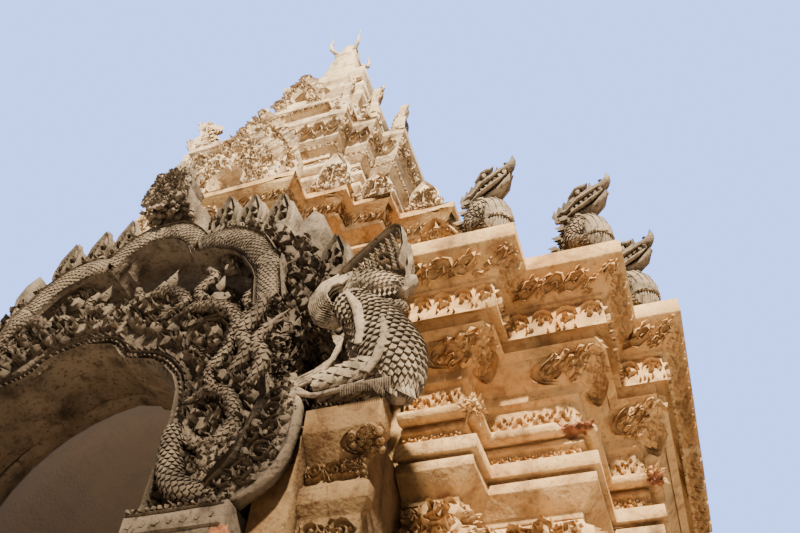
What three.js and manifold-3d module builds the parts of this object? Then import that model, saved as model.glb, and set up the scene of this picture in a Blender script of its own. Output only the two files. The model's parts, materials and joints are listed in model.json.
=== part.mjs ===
// Brick and stucco temple gate with a passage, four bay fronts and a stepped tower.
// Millimetres, +X right, +Y away from the front, +Z up, origin on the ground at the centre.
import * as THREE from 'three';
import { mergeVertices } from 'three/addons/utils/BufferGeometryUtils.js';
import Module from 'manifold-3d';

const wasm = await Module();
wasm.setup();

// Joint between neighbouring pieces
const GAP = 0.3;

// Passage through the gate
const PASSAGE_HALF = 800;
const VAULT_HALF = 740;
const VAULT_SEAT = 3550;
const VAULT_SPRING = 3750;
const VAULT_BULGE = 190;
const VAULT_TOP = 4500;

// Body plan: outer corners of the cornice slab in one quadrant, from the front bay outwards
const BODY_STEPS = [[2370, 1940], [2870, 1680], [3110, 1170]];
const BODY_WALL_INSET = 420;
const PLINTH_TOP = 900;
const WALL_TOP = 3560;
const SLAB_BOTTOM = 4790;
const SLAB_TOP = 4880;

// Front bay: piers, arch panel and pediment, as half widths and distances from the centre
const BAY_HALF = 1675;
const BAY_BACK = 1500;
const OUTER_PIER_FRONT = 1980;
const OUTER_PIER_RIB = 15;
const OUTER_PIER_SIDE = 1950;
const OUTER_PIER_INNER = 1200;
const OUTER_CAPITAL_INNER = 1430;
const OUTER_CAPITAL_TOP = 3730;
const INNER_PIER_HALF = 750;
const INNER_PIER_FRONT = 2050;
const INNER_CAPITAL_TOP = 3300;
const PANEL_BACK = 1625;
const ARCH_FRONT = 2040;

// Pediment over the bay
const PEDIMENT_BACK = 1500;
const RECESS_FACE = 1620;
const FLAME_FACE = 1760;
const BAND_FACE = 1840;
const PEAK_FACE = 1980;
const PEAK_TOP = 6330;

// Tower plans: outer slab corners in one quadrant
const FIRST_STEPS = [[649, 1498], [989, 1259], [1297, 1095], [1741, 868]];
const SECOND_STEPS = [[819, 1194], [1047, 1025], [1259, 840]];
const THIRD_STEPS = [[450, 960], [660, 840], [860, 680]];
const FOURTH_STEPS = [[430, 700], [600, 560]];
const FIFTH_STEPS = [[400, 560], [520, 420]];
const TOP_HALF = [489, 454];
const SPIRE_TOP = 11640;

// Reach of the cutting solids: far past the front, and past the ends of what they cut
const FAR = 3000;
const PAST = 10;

// Profiles of the mouldings: inset from the slab edge and height above the slab underside
const BODY_CORNICE = [
  [420, -1230], [420, -1190], [325, -1115], [325, -1062], [355, -1058], [355, -1038], [303, -1045],
  [303, -968], [385, -940], [385, -880], [362, -872], [362, -838], [385, -834], [385, -822],
  [335, -842], [300, -834], [288, -808], [300, -782], [387, -745], [387, -606], [354, -590],
  [354, -530], [300, -500], [250, -450], [226, -402], [220, -392], [220, -292], [149, -350],
  [155, -168], [165, -164], [142, -158], [142, -134], [122, -130], [14, -22], [0, -10], [0, 0],
];
const PLINTH = [
  [50, 0], [50, 350], [120, 400], [120, 500], [220, 620], [300, 660], [300, 740], [420, PLINTH_TOP],
];
const FIRST_STOREY = [
  [50, SLAB_TOP], [50, 4980], [140, 5040], [140, 5120], [260, 5250], [260, 5520], [170, 5600],
  [170, 5680], [240, 5700], [240, 5800], [150, 5860], [150, 5930], [260, 5950], [260, 6300],
];
const FIRST_CORNICE = [
  [220, 6300], [220, 6400], [120, 6460], [120, 6500], [30, 6580], [0, 6610], [0, 6680],
];
const SECOND_STOREY = [
  [40, 6680], [40, 6740], [120, 6780], [120, 6860], [240, 6950], [240, 7120], [140, 7200],
  [140, 7260], [200, 7280], [200, 7340], [140, 7380], [140, 7430], [220, 7450], [220, 7600],
];
const SECOND_CORNICE = [
  [200, 7600], [200, 7660], [140, 7700], [140, 7750], [100, 7790], [100, 7820], [20, 7960],
  [0, 7980], [0, 8050],
];
const THIRD_STOREY = [
  [30, 8050], [30, 8110], [100, 8150], [100, 8210], [160, 8260], [160, 8440], [90, 8470],
  [90, 8520], [150, 8550], [150, 8640], [40, 8720], [0, 8740], [0, 8800],
];
const FOURTH_STOREY = [
  [20, 8800], [20, 8860], [90, 8920], [90, 9180], [40, 9220], [40, 9270], [80, 9300], [80, 9440],
  [0, 9520], [0, 9600],
];
const FIFTH_STOREY = [[0, 9601], [0, 9660], [60, 9720], [60, 10020], [20, 10070], [20, 10150]];

const SUNLIT = { color: 0xd9b48c, roughness: 0.9, metalness: 0 };
const CREAM = { color: 0xe9d9c2, roughness: 0.9, metalness: 0 };
const WEATHERED = { color: 0x8f8376, roughness: 0.95, metalness: 0 };

const gate = new THREE.Group();

// Adds one named piece
function place(name, geometry, look, turn = 0) {
  geometry.computeVertexNormals();
  const mesh = new THREE.Mesh(geometry, new THREE.MeshStandardMaterial(look));
  mesh.name = name;
  mesh.rotation.z = turn;
  gate.add(mesh);
}

// Geometry with shared vertices only
function welded(geometry) {
  const bare = geometry.index ? geometry.toNonIndexed() : geometry.clone();
  bare.deleteAttribute('normal');
  bare.deleteAttribute('uv');
  return mergeVertices(bare, 1e-3);
}

function toSolid(geometry) {
  const closed = welded(geometry);
  return new wasm.Manifold(new wasm.Mesh({
    numProp: 3,
    vertProperties: new Float32Array(closed.attributes.position.array),
    triVerts: new Uint32Array(closed.index.array),
  }));
}

function toGeometry(solid) {
  const mesh = solid.getMesh();
  const geometry = new THREE.BufferGeometry();
  geometry.setAttribute('position', new THREE.BufferAttribute(mesh.vertProperties, 3));
  geometry.setIndex(new THREE.BufferAttribute(mesh.triVerts, 1));
  return geometry;
}

// Mirror image across x = 0, with the faces turned to point out again
function mirrored(geometry) {
  const copy = geometry.clone();
  copy.scale(-1, 1, 1);
  const index = copy.index.array.slice();
  for (let i = 0; i < index.length; i += 3) {
    [index[i], index[i + 1]] = [index[i + 1], index[i]];
  }
  copy.setIndex(new THREE.BufferAttribute(index, 1));
  return copy;
}

// Solid through closed outlines [{ points, z }] that all have the same number of points
function loft(levels) {
  const count = levels[0].points.length;
  const positions = levels.flatMap(({ points, z }) => points.flatMap(([x, y]) => [x, y, z]));
  const faces = [];
  for (let level = 0; level + 1 < levels.length; level += 1) {
    for (let i = 0; i < count; i += 1) {
      const a = level * count + i;
      const b = level * count + (i + 1) % count;
      faces.push(a, b, b + count, a, b + count, a + count);
    }
  }
  const cap = (points) => THREE.ShapeUtils.triangulateShape(
    points.map(([x, y]) => new THREE.Vector2(x, y)), []);
  const top = (levels.length - 1) * count;
  cap(levels[0].points).forEach(([a, b, c]) => faces.push(a, c, b));
  cap(levels.at(-1).points).forEach(([a, b, c]) => faces.push(top + a, top + b, top + c));
  const geometry = new THREE.BufferGeometry();
  geometry.setAttribute('position', new THREE.Float32BufferAttribute(positions, 3));
  geometry.setIndex(faces);
  return geometry;
}

// One quadrant of a stepped outline, from the front bay round to the side, pulled in by inset
function quadrant(steps, inset) {
  return steps.flatMap(([x, y], i) => {
    const corner = [[x - inset, -(y - inset)]];
    if (i + 1 < steps.length) {
      corner.push([x - inset, -(steps[i + 1][1] - inset)]);
    }
    return corner;
  });
}

// Whole stepped outline, counter-clockwise
function outline(steps, inset) {
  const right = quadrant(steps, inset);
  const back = right.map(([x, y]) => [x, -y]).reverse();
  const half = [...right, ...back];
  return [...half, ...half.map(([x, y]) => [-x, y]).reverse()];
}

// Right half of a stepped outline, straight along the passage
function halfOutline(steps, inset, inner) {
  const right = quadrant(steps, inset);
  const back = right.map(([x, y]) => [x, -y]).reverse();
  return [[inner, right[0][1]], ...right, ...back, [inner, -right[0][1]]];
}

const rings = (steps, profile) => profile.map(([inset, z]) => ({ points: outline(steps, inset), z }));
const tower = (steps, profile) => loft(rings(steps, profile));

function boxSolid(x0, x1, y0, y1, z0, z1) {
  const box = new THREE.BoxGeometry(x1 - x0, y1 - y0, z1 - z0);
  box.translate((x0 + x1) / 2, (y0 + y1) / 2, (z0 + z1) / 2);
  return toSolid(box);
}

// Upright panel: outline of [x, z] points between two distances in front of the centre
function panel(points, near, far) {
  const shape = new THREE.Shape(points.map(([x, z]) => new THREE.Vector2(x, z)));
  const geometry = new THREE.ExtrudeGeometry(shape, { depth: far - near, bevelEnabled: false });
  geometry.rotateX(Math.PI / 2);
  geometry.translate(0, -near, 0);
  return toSolid(geometry);
}

// Points on an arc from one point to another that bulges to the left by rise
function arc([x0, z0], [x1, z1], rise, steps = 6) {
  const points = [];
  const chord = Math.hypot(x1 - x0, z1 - z0);
  const nx = -(z1 - z0) / chord;
  const nz = (x1 - x0) / chord;
  for (let i = 1; i < steps; i += 1) {
    const t = i / steps;
    const lift = 4 * rise * t * (1 - t);
    points.push([x0 + (x1 - x0) * t + nx * lift, z0 + (z1 - z0) * t + nz * lift]);
  }
  return points;
}

// Closed symmetric outline from its right half, listed from the bottom up
const symmetric = (right) => [
  ...right, ...right.filter(([x]) => x > 0).map(([x, z]) => [-x, z]).reverse(),
];

// Cuts the space of the bays out of the front and back of a body piece
function cutBays(solid, bottom, top) {
  const side = BAY_HALF + GAP;
  return solid
    .subtract(boxSolid(0, side, -FAR, -BAY_BACK, bottom, top))
    .subtract(boxSolid(0, side, BAY_BACK, FAR, bottom, top));
}

function bodyPiece(profile) {
  const levels = profile.map(([inset, z]) => ({
    points: halfOutline(BODY_STEPS, inset, PASSAGE_HALF + GAP), z,
  }));
  return toGeometry(cutBays(toSolid(loft(levels)), -PAST, SLAB_TOP + PAST));
}

const bodyPieces = {
  plinth: PLINTH,
  wall: [[BODY_WALL_INSET, PLINTH_TOP + GAP], [BODY_WALL_INSET, WALL_TOP]],
  cornice: [
    ...BODY_CORNICE.map(([inset, rise], i) => [inset, SLAB_BOTTOM + rise + (i === 0 ? GAP : 0)]),
    [0, SLAB_TOP],
  ],
};
for (const [part, profile] of Object.entries(bodyPieces)) {
  const right = bodyPiece(profile);
  place(`right_${part}`, right, SUNLIT);
  place(`left_${part}`, mirrored(right), SUNLIT);
}

// Vault that spans the passage between the two walls
const vaultOpening = panel(symmetric([
  [VAULT_HALF, -PAST], [VAULT_HALF, VAULT_SPRING],
  ...arc([VAULT_HALF, VAULT_SPRING], [0, VAULT_TOP], -VAULT_BULGE, 8), [0, VAULT_TOP],
]), -FAR, FAR);
const vaultBlock = boxSolid(
  -PASSAGE_HALF, PASSAGE_HALF, -BAY_BACK + GAP, BAY_BACK - GAP, VAULT_SEAT, SLAB_TOP);
place('passage_vault', toGeometry(vaultBlock.subtract(vaultOpening)), SUNLIT);

// Piers of the bay fronts: mouldings as projection and height, from the ground to the capital
const OUTER_PIER = [
  [90, 0], [90, 330], [50, 380], [50, 470], [20, 560], [20, 3250], [60, 3300], [60, 3370],
  [20, 3410], [20, 3500], [110, 3600], [110, OUTER_CAPITAL_TOP],
];
const INNER_PIER = [
  [80, 0], [80, 330], [45, 380], [45, 470], [20, 560], [20, 2860], [60, 2910], [60, 2970],
  [30, 3010], [30, 3080], [100, 3180], [100, INNER_CAPITAL_TOP],
];
const outerPierPlan = (out) => {
  const inner = OUTER_PIER_INNER + GAP;
  const outer = BAY_HALF - GAP;
  const back = -BAY_BACK - GAP;
  const rib = -OUTER_PIER_FRONT - OUTER_PIER_RIB;
  const front = -OUTER_PIER_FRONT - out;
  const side = -OUTER_PIER_SIDE - out / 8;
  return [
    [inner, rib], [OUTER_CAPITAL_INNER, rib], [OUTER_CAPITAL_INNER, front], [outer + out, front],
    [outer + out, side], [outer, side], [outer, back], [inner, back],
  ];
};
const outerPier = loft(OUTER_PIER.map(([out, z]) => ({ points: outerPierPlan(out), z })));
const innerPier = loft(INNER_PIER.map(([out, z]) => ({
  points: [
    [INNER_PIER_HALF - out / 4, -BAY_BACK - GAP], [INNER_PIER_HALF - out / 4, -INNER_PIER_FRONT - out],
    [OUTER_PIER_INNER, -INNER_PIER_FRONT - out], [OUTER_PIER_INNER, -BAY_BACK - GAP],
  ],
  z,
})));

// Cusped opening of the arch panel, right half from the bottom up
const ARCH_INNER = [
  [710, INNER_CAPITAL_TOP - 10], [710, 3890], ...arc([710, 3890], [300, 4310], -95),
  [300, 4310], ...arc([300, 4310], [0, 4465], -60, 4), [0, 4465],
];
const PANEL_OUTER = [
  [1130, INNER_CAPITAL_TOP + GAP], [1130, 4100], [1040, 4330], ...arc([1040, 4330], [0, 4810], -110, 6),
  [0, 4810],
];
const PANEL_POCKET = [
  [1130 + GAP, INNER_CAPITAL_TOP - 60], [1130 + GAP, 4100 + GAP], [1040 + GAP, 4330 + GAP],
  ...arc([1040 + GAP, 4330 + GAP], [0, 4810 + GAP], -110, 6), [0, 4810 + GAP],
];
const archPanel = toGeometry(panel(symmetric(PANEL_OUTER), PANEL_BACK, ARCH_FRONT)
  .subtract(panel(symmetric(ARCH_INNER), 0, FAR)));

// Pediment: plate, cusped band round a recess, and pointed leaves along the edge
const BAND_INNER = [
  [860, 4700], [820, 4940], ...arc([820, 4940], [770, 5100], -15, 3), [770, 5100],
  ...arc([770, 5100], [290, 5380], -110), [290, 5380], ...arc([290, 5380], [0, 5610], -60, 4),
  [0, 5610],
];
const BAND_OUTER = [
  [1060, 4700], [980, 5060], ...arc([980, 5060], [910, 5250], -30, 3), [910, 5250],
  ...arc([910, 5250], [380, 5560], -120), [380, 5560], ...arc([380, 5560], [0, 5800], -60, 4),
  [0, 5800],
];
const BAND_FOOT = [860, 4500];
const EDGE_FOOT = [[1600, OUTER_CAPITAL_TOP + GAP], [1600, 4560], [1420, 4900]];
const PIER_POCKET = [
  [OUTER_PIER_INNER, INNER_CAPITAL_TOP - PAST], [OUTER_PIER_INNER, OUTER_CAPITAL_TOP + PAST],
  [900, OUTER_CAPITAL_TOP + PAST],
];
const LEAF_TIPS = [[1270, 5330], [1060, 5690], [815, 5920], [590, 5990], [390, 6050]];
const LEAF_HALF = 98;
const LEAF_HEIGHT = 330;

// A pointed leaf on the pediment edge, from its outer foot over its tip to its inner foot
const leaf = ([x, z]) => [
  [x + LEAF_HALF * 0.8, z - LEAF_HEIGHT], [x + LEAF_HALF * 1.1, z - LEAF_HEIGHT * 0.62],
  [x + LEAF_HALF * 0.8, z - LEAF_HEIGHT * 0.25], [x, z], [x - LEAF_HALF * 0.7, z - LEAF_HEIGHT * 0.3],
  [x - LEAF_HALF * 0.95, z - LEAF_HEIGHT * 0.62],
];
const PEDIMENT_EDGE = [
  ...EDGE_FOOT, ...LEAF_TIPS.flatMap(leaf), [220, 5850], [190, 6010], [110, 6110], [0, 6190],
];
const PEAK = [[130, 5860], [165, 5980], [120, 6110], [130, 6190], [40, 6270], [0, PEAK_TOP]];
const edge = symmetric(PEDIMENT_EDGE);
const pediment = toGeometry(panel(edge, PEDIMENT_BACK + GAP, RECESS_FACE)
  .add(panel(edge, RECESS_FACE, FLAME_FACE)
    .subtract(panel(symmetric([BAND_FOOT, ...BAND_INNER]), 0, FAR)))
  .add(panel(symmetric([[1060, BAND_FOOT[1]], ...BAND_OUTER]), FLAME_FACE, BAND_FACE)
    .subtract(panel(symmetric([BAND_FOOT, ...BAND_INNER]), 0, FAR)))
  .add(panel(symmetric(PEAK), FLAME_FACE - PAST, PEAK_FACE))
  .subtract(panel(symmetric(PANEL_POCKET), RECESS_FACE, FAR))
  .subtract(panel(symmetric(PIER_POCKET), 0, FAR))
  .subtract(vaultOpening));

// Tapering body along an upright curve of [x, z] points, round in section and centred on y
function sweep(spine, radii, halfDepth, y, sides = 8) {
  const rings = spine.map(([x, z], i) => {
    const [xa, za] = spine[Math.max(i - 1, 0)];
    const [xb, zb] = spine[Math.min(i + 1, spine.length - 1)];
    const length = Math.hypot(xb - xa, zb - za);
    return Array.from({ length: sides }, (_, side) => {
      const angle = side * 2 * Math.PI / sides;
      const across = radii[i] * Math.cos(angle);
      const out = Math.min(radii[i], halfDepth) * Math.sin(angle);
      return [x - across * (zb - za) / length, y - out, z + across * (xb - xa) / length];
    });
  });
  const faces = [];
  for (let ring = 0; ring + 1 < rings.length; ring += 1) {
    for (let i = 0; i < sides; i += 1) {
      const a = ring * sides + i;
      const b = ring * sides + (i + 1) % sides;
      faces.push(a, b, b + sides, a, b + sides, a + sides);
    }
  }
  const last = (rings.length - 1) * sides;
  for (let i = 1; i + 1 < sides; i += 1) {
    faces.push(0, i + 1, i, last, last + i, last + i + 1);
  }
  const geometry = new THREE.BufferGeometry();
  geometry.setAttribute('position', new THREE.Float32BufferAttribute(rings.flat(2), 3));
  geometry.setIndex(faces);
  return geometry;
}

// Sea beast that rears up on the outer capital: neck, upper and lower jaw, crest, mane and seat
const BEAST_SPINE = [
  [1500, 3860], [1690, 3850], [1780, 3970], [1730, 4160], [1610, 4320], [1560, 4440], [1680, 4500],
  [1830, 4450],
];
const BEAST_RADII = [70, 110, 150, 150, 120, 110, 80, 35];
const JAW_SPINE = [[1580, 4330], [1700, 4320], [1820, 4290]];
const JAW_RADII = [60, 60, 30];
const BEAST_CREST = [[1500, 4540], [1770, 4500], [1840, 4560], [1790, 4850], [1650, 4730]];
const BEAST_MANE = [[1370, 4300], [1560, 4300], [1560, 4560], [1450, 4610], [1350, 4540]];
const BEAST_CENTRE = 2065;
const BEAST_HALF_DEPTH = 100;
const CREST_HALF_DEPTH = 45;
const BEAST_SEAT = { inner: 1450, outer: 1760, back: 1985, front: 2085, top: 3830 };
const beastCurve = (spine, radii) => toSolid(sweep(spine, radii, BEAST_HALF_DEPTH, -BEAST_CENTRE));
const beastPlate = (points) => panel(
  points, BEAST_CENTRE - CREST_HALF_DEPTH, BEAST_CENTRE + CREST_HALF_DEPTH);
const beastSeat = boxSolid(
  BEAST_SEAT.inner, BEAST_SEAT.outer, -BEAST_SEAT.front, -BEAST_SEAT.back, OUTER_CAPITAL_TOP + GAP,
  BEAST_SEAT.top);
const beast = toGeometry(beastCurve(BEAST_SPINE, BEAST_RADII)
  .add(beastCurve(JAW_SPINE, JAW_RADII))
  .add(beastPlate(BEAST_CREST))
  .add(beastPlate(BEAST_MANE))
  .add(beastSeat));

// Scroll leaf on the inner capital, against the arch panel
const FAN = [
  [880, INNER_CAPITAL_TOP + GAP], [1190, INNER_CAPITAL_TOP + GAP], [1330, 3400], [1400, 3560],
  [1410, 3760], [1350, 3960], [1290, 3800], [1180, 3690], [1010, 3640], [900, 3500],
];
const FAN_FACE = 2145;
const fan = toGeometry(panel(FAN, ARCH_FRONT + GAP, FAN_FACE));

for (const [side, turn] of [['front', 0], ['back', Math.PI]]) {
  const nearRight = turn === 0 ? 'right' : 'left';
  const nearLeft = turn === 0 ? 'left' : 'right';
  const pieces = {
    outer_pier: [toGeometry(toSolid(outerPier)), SUNLIT],
    inner_pier: [toGeometry(toSolid(innerPier)), WEATHERED],
    sea_beast: [beast, WEATHERED],
    scroll_leaf: [fan, WEATHERED],
  };
  for (const [part, [geometry, look]] of Object.entries(pieces)) {
    place(`${side}_${nearRight}_${part}`, geometry, look, turn);
    place(`${side}_${nearLeft}_${part}`, mirrored(geometry), look, turn);
  }
  place(`${side}_arch`, archPanel.clone(), WEATHERED, turn);
  place(`${side}_pediment`, pediment.clone(), WEATHERED, turn);
}

// Tower storeys and cornices, each resting on the one below
const raise = (profile) => profile.map(([inset, z], i) => [inset, z + (i === 0 ? GAP : 0)]);
place('first_storey', tower(FIRST_STEPS, raise(FIRST_STOREY)), SUNLIT);
place('second_storey', tower(SECOND_STEPS, raise(SECOND_STOREY)), CREAM);
place('third_storey', tower(THIRD_STEPS, raise(THIRD_STOREY)), CREAM);
place('fourth_storey', loft([
  ...rings(FOURTH_STEPS, raise(FOURTH_STOREY)), ...rings(FIFTH_STEPS, FIFTH_STOREY),
]), CREAM);

// Small gabled niches, one above the other on the front and the back of the tower
const NICHES = {
  lower_niche: { half: 450, foot: 6680, top: 7620, back: 1310, face: 1450, opening: [140, 6750, 7000] },
  middle_niche: { half: 520, foot: 6680, top: 8170, back: 1195, face: 1309, opening: [150, 7400, 7700] },
  upper_niche: { half: 290, foot: 8800, top: 9740, back: 706, face: 820, opening: [75, 9180, 9380] },
};
// Outlines of the gable and of its opening, as shares of their half width and height
const GABLE_SHAPE = [[1, 0], [1, 0.35], [0.86, 0.5], [0.5, 0.72], [0.22, 0.84], [0, 1]];
const HOLLOW_SHAPE = [[1, 0], [1, 0.5], [0.6, 0.85], [0, 1]];
const HOLLOW_DEPTH = 90;
const scaled = (shape, half, low, high) => symmetric(
  shape.map(([across, up]) => [half * across, low + (high - low) * up]));
function niche({ half, foot, top, back, face, opening: [wide, low, high] }) {
  const gable = panel(scaled(GABLE_SHAPE, half, foot + GAP, top), back + GAP, face);
  const hollow = panel(scaled(HOLLOW_SHAPE, wide, low, high), face - HOLLOW_DEPTH, face + PAST);
  return toGeometry(gable.subtract(hollow));
}
for (const [part, size] of Object.entries(NICHES)) {
  place(`front_${part}`, niche(size), CREAM);
  place(`back_${part}`, niche(size), CREAM, Math.PI);
}

// The same form at the four corners of a plan
function atCorners(solid) {
  const right = toGeometry(solid);
  const left = mirrored(right);
  const turned = (geometry) => toSolid(geometry.clone().rotateZ(Math.PI));
  return [toSolid(right), toSolid(left), turned(right), turned(left)];
}

// Triangular scroll gable that stands on a slab between two steps
const GABLE_DEPTH = 90;
function scrollGable(x, front, base, half, height) {
  return panel([
    [x - half, base], [x + half, base], [x + half * 0.5, base + height * 0.62], [x, base + height],
    [x - half * 0.5, base + height * 0.62],
  ], front - GABLE_DEPTH, front);
}

// Seated naga at a slab corner, with its chest and its jaws leaning out over the corner.
// Levels: half width, lean outwards and height, all as shares of the seat or the height.
const NAGA_LEVELS = [
  [1, 0, 0], [0.95, 0.05, 0.12], [0.84, 0.2, 0.4], [0.56, 0.1, 0.55], [0.6, 0.35, 0.66],
  [0.66, 0.6, 0.76], [0.5, 0.5, 0.9], [0.2, 0.35, 1],
];
function cornerNaga(x, front, base, half, height) {
  return toSolid(loft(NAGA_LEVELS.map(([share, lean, rise]) => {
    const r = share * half;
    const out = lean * half;
    return {
      points: [[-r, -r], [r, -r], [r, r], [-r, r]].map(([dx, dy]) => [x + dx + out, -front + dy - out]),
      z: base + height * rise,
    };
  })));
}

function cornice(steps, profile, ornaments) {
  let solid = toSolid(tower(steps, raise(profile)));
  for (const ornament of ornaments) {
    for (const copy of atCorners(ornament)) {
      solid = solid.add(copy);
    }
  }
  return toGeometry(solid);
}
// Gables as [x, front, half width, height] and nagas as [x, front, half width, height]
const SCROLL_GABLES = [[850, 1250, 165, 490], [1160, 1090, 140, 310], [1490, 860, 150, 360]];
const TOWER_NAGAS = [[752, 1127, 65, 540], [980, 958, 65, 600], [1190, 771, 65, 480]];
const BEDDED = 10;
const [, gableSeat] = FIRST_CORNICE.at(-1);
const [, nagaSeat] = SECOND_CORNICE.at(-1);
place('first_cornice', cornice(FIRST_STEPS, FIRST_CORNICE, SCROLL_GABLES.map(
  ([x, front, half, height]) => scrollGable(x, front, gableSeat - BEDDED, half, height))), SUNLIT);
place('second_cornice', cornice(SECOND_STEPS, SECOND_CORNICE, TOWER_NAGAS.map(
  ([x, front, half, height]) => cornerNaga(x, front, nagaSeat - BEDDED, half, height))), CREAM);

// Guardian beasts on the three steps of each body corner, on one stepped footing
const GUARDIANS = [[2215, 1785, 600], [2715, 1525, 590], [2950, 1015, 620]];
const GUARDIAN_HALF = 125;
const FOOTING = 60;
const FOOTING_HALF = 140;
const FOOTING_LINKS = [[2075, 2600, -1665, -1585], [2790, 2855, -1500, -1000]];
const footing = (x0, x1, y0, y1) => boxSolid(x0, x1, y0, y1, SLAB_TOP + GAP, SLAB_TOP + FOOTING);
let guardians = footing(...FOOTING_LINKS[0]).add(footing(...FOOTING_LINKS[1]));
for (const [x, y, height] of GUARDIANS) {
  guardians = guardians
    .add(footing(x - FOOTING_HALF, x + FOOTING_HALF, -y - FOOTING_HALF, -y + FOOTING_HALF))
    .add(cornerNaga(x, y, SLAB_TOP + FOOTING - BEDDED, GUARDIAN_HALF, height));
}
const guardianSet = toGeometry(guardians);
place('front_right_guardians', guardianSet, WEATHERED);
place('front_left_guardians', mirrored(guardianSet), WEATHERED);
place('back_left_guardians', guardianSet.clone(), WEATHERED, Math.PI);
place('back_right_guardians', mirrored(guardianSet), WEATHERED, Math.PI);

// Spire over the top slab, and the finial: a dome and four upturned horns over the corners
const SPIRE = [
  [0, 0, 10150], [0, 0, 10170], [-40, -40, 10250], [-40, -40, 10320], [0, 0, 10325], [0, 0, 10400],
  [110, 110, 10410], [190, 190, 10640], [265, 260, 11000], [320, 295, 11400], [350, 322, 11560],
  [334, 304, 11600], [334, 304, SPIRE_TOP],
];
place('spire', loft(SPIRE.map(([dx, dy, z], i) => {
  const x = TOP_HALF[0] - dx;
  const y = TOP_HALF[1] - dy;
  return { points: [[-x, -y], [x, -y], [x, y], [-x, y]], z: z + (i === 0 ? GAP : 0) };
})), CREAM);

const DOME = [[0, 0], [145, 0], [145, 90], [132, 210], [95, 320], [40, 385], [0, 400]];
const DOME_SIDES = 12;
const dome = new THREE.LatheGeometry(DOME.map(([r, z]) => new THREE.Vector2(r, z)), DOME_SIDES);
dome.rotateX(Math.PI / 2);
dome.translate(0, 0, SPIRE_TOP + GAP);
const HORN_SPINE = [[100, 60], [200, 45], [280, 100], [290, 210], [264, 310], [300, 420]];
const HORN_RADII = [36, 34, 30, 24, 18, 8];
const HORN_SIDES = 6;
let finial = toSolid(dome);
for (let quarter = 0; quarter < 4; quarter += 1) {
  const spine = HORN_SPINE.map(([out, up]) => [out, SPIRE_TOP + up]);
  const horn = sweep(spine, HORN_RADII, HORN_RADII[0], 0, HORN_SIDES);
  finial = finial.add(toSolid(horn.rotateZ((quarter + 0.5) * Math.PI / 2)));
}
place('finial', toGeometry(finial), CREAM);

export default gate;
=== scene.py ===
import json
import math
import bmesh
import bpy
import numpy as np
from mathutils import Matrix, Vector, noise


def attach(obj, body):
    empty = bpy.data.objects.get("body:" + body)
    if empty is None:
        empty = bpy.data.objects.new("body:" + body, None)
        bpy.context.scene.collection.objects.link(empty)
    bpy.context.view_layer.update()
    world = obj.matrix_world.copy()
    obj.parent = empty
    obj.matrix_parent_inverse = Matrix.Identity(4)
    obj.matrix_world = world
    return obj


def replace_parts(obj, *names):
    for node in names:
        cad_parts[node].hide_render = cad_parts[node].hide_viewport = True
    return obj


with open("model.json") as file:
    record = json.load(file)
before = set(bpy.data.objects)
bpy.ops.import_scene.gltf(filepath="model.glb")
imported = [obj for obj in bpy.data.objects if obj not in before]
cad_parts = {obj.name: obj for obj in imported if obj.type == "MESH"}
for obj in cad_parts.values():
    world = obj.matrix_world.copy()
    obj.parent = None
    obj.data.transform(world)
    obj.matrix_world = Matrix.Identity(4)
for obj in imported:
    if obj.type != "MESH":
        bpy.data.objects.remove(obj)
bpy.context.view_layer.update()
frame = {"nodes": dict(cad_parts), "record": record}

# Camera: a standing viewer's eye beside the passage, looking up at the pediment and tower
EYE = (2.7754, -4.4990, 1.6)
RIGHT = (0.947359, 0.316183, 0.050386)
DOWN = (-0.205852, 0.722040, -0.660518)
AHEAD = (-0.245225, 0.615375, 0.749118)
FOCAL_PIXELS = 799.41
IMAGE_WIDTH = 800
SENSOR = 36.0

# Sizes of the gate in metres, as in the solids
BODY_STEPS = [(2.370, 1.940), (2.870, 1.680), (3.110, 1.170)]
BAY_HALF = 1.675
SLAB_BOTTOM = 4.790
FIRST_STEPS = [(0.649, 1.498), (0.989, 1.259), (1.297, 1.095), (1.741, 0.868)]
SECOND_STEPS = [(0.819, 1.194), (1.047, 1.025), (1.259, 0.840)]
THIRD_STEPS = [(0.450, 0.960), (0.660, 0.840), (0.860, 0.680)]
FOURTH_STEPS = [(0.430, 0.700), (0.600, 0.560)]
FIFTH_STEPS = [(0.400, 0.560), (0.520, 0.420)]
FOOTING_TOP = 4.940

rng = np.random.default_rng(7)

# Mesh making


class Carving:
    """Closed shells gathered into one mesh, drawn on a surface as (across, up, out) points."""

    def __init__(self):
        self.verts = []
        self.tris = []
        self.count = 0

    def add(self, verts, tris):
        """Takes in one closed shell."""
        self.verts.append(np.asarray(verts, float).reshape(-1, 3))
        self.tris.append(np.asarray(tris, int).reshape(-1, 3) + self.count)
        self.count += len(self.verts[-1])

    def arrays(self):
        """All points and all triangles."""
        return np.concatenate(self.verts), np.concatenate(self.tris)

    def merge(self, other, place=None, flip=False):
        """Takes in another carving moved by place, turned inside out where place mirrors it."""
        if not other.verts:
            return
        verts, tris = other.arrays()
        self.add(place(verts) if place else verts, tris[:, ::-1] if flip else tris)


def grid_tris(rows, cols, closed):
    """Triangles of a grid of points, with its columns joined round where closed."""
    r, c = np.meshgrid(np.arange(rows - 1), np.arange(cols if closed else cols - 1), indexing="ij")
    a = (r * cols + c).ravel()
    b = (r * cols + (c + 1) % cols).ravel()
    return np.concatenate([np.stack([a, b, b + cols], 1), np.stack([a, b + cols, a + cols], 1)])


ACROSS = np.array([-1.0, 0.0, 1.0])
RIDGE = np.array([0.0, 1.0, 0.0])


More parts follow.
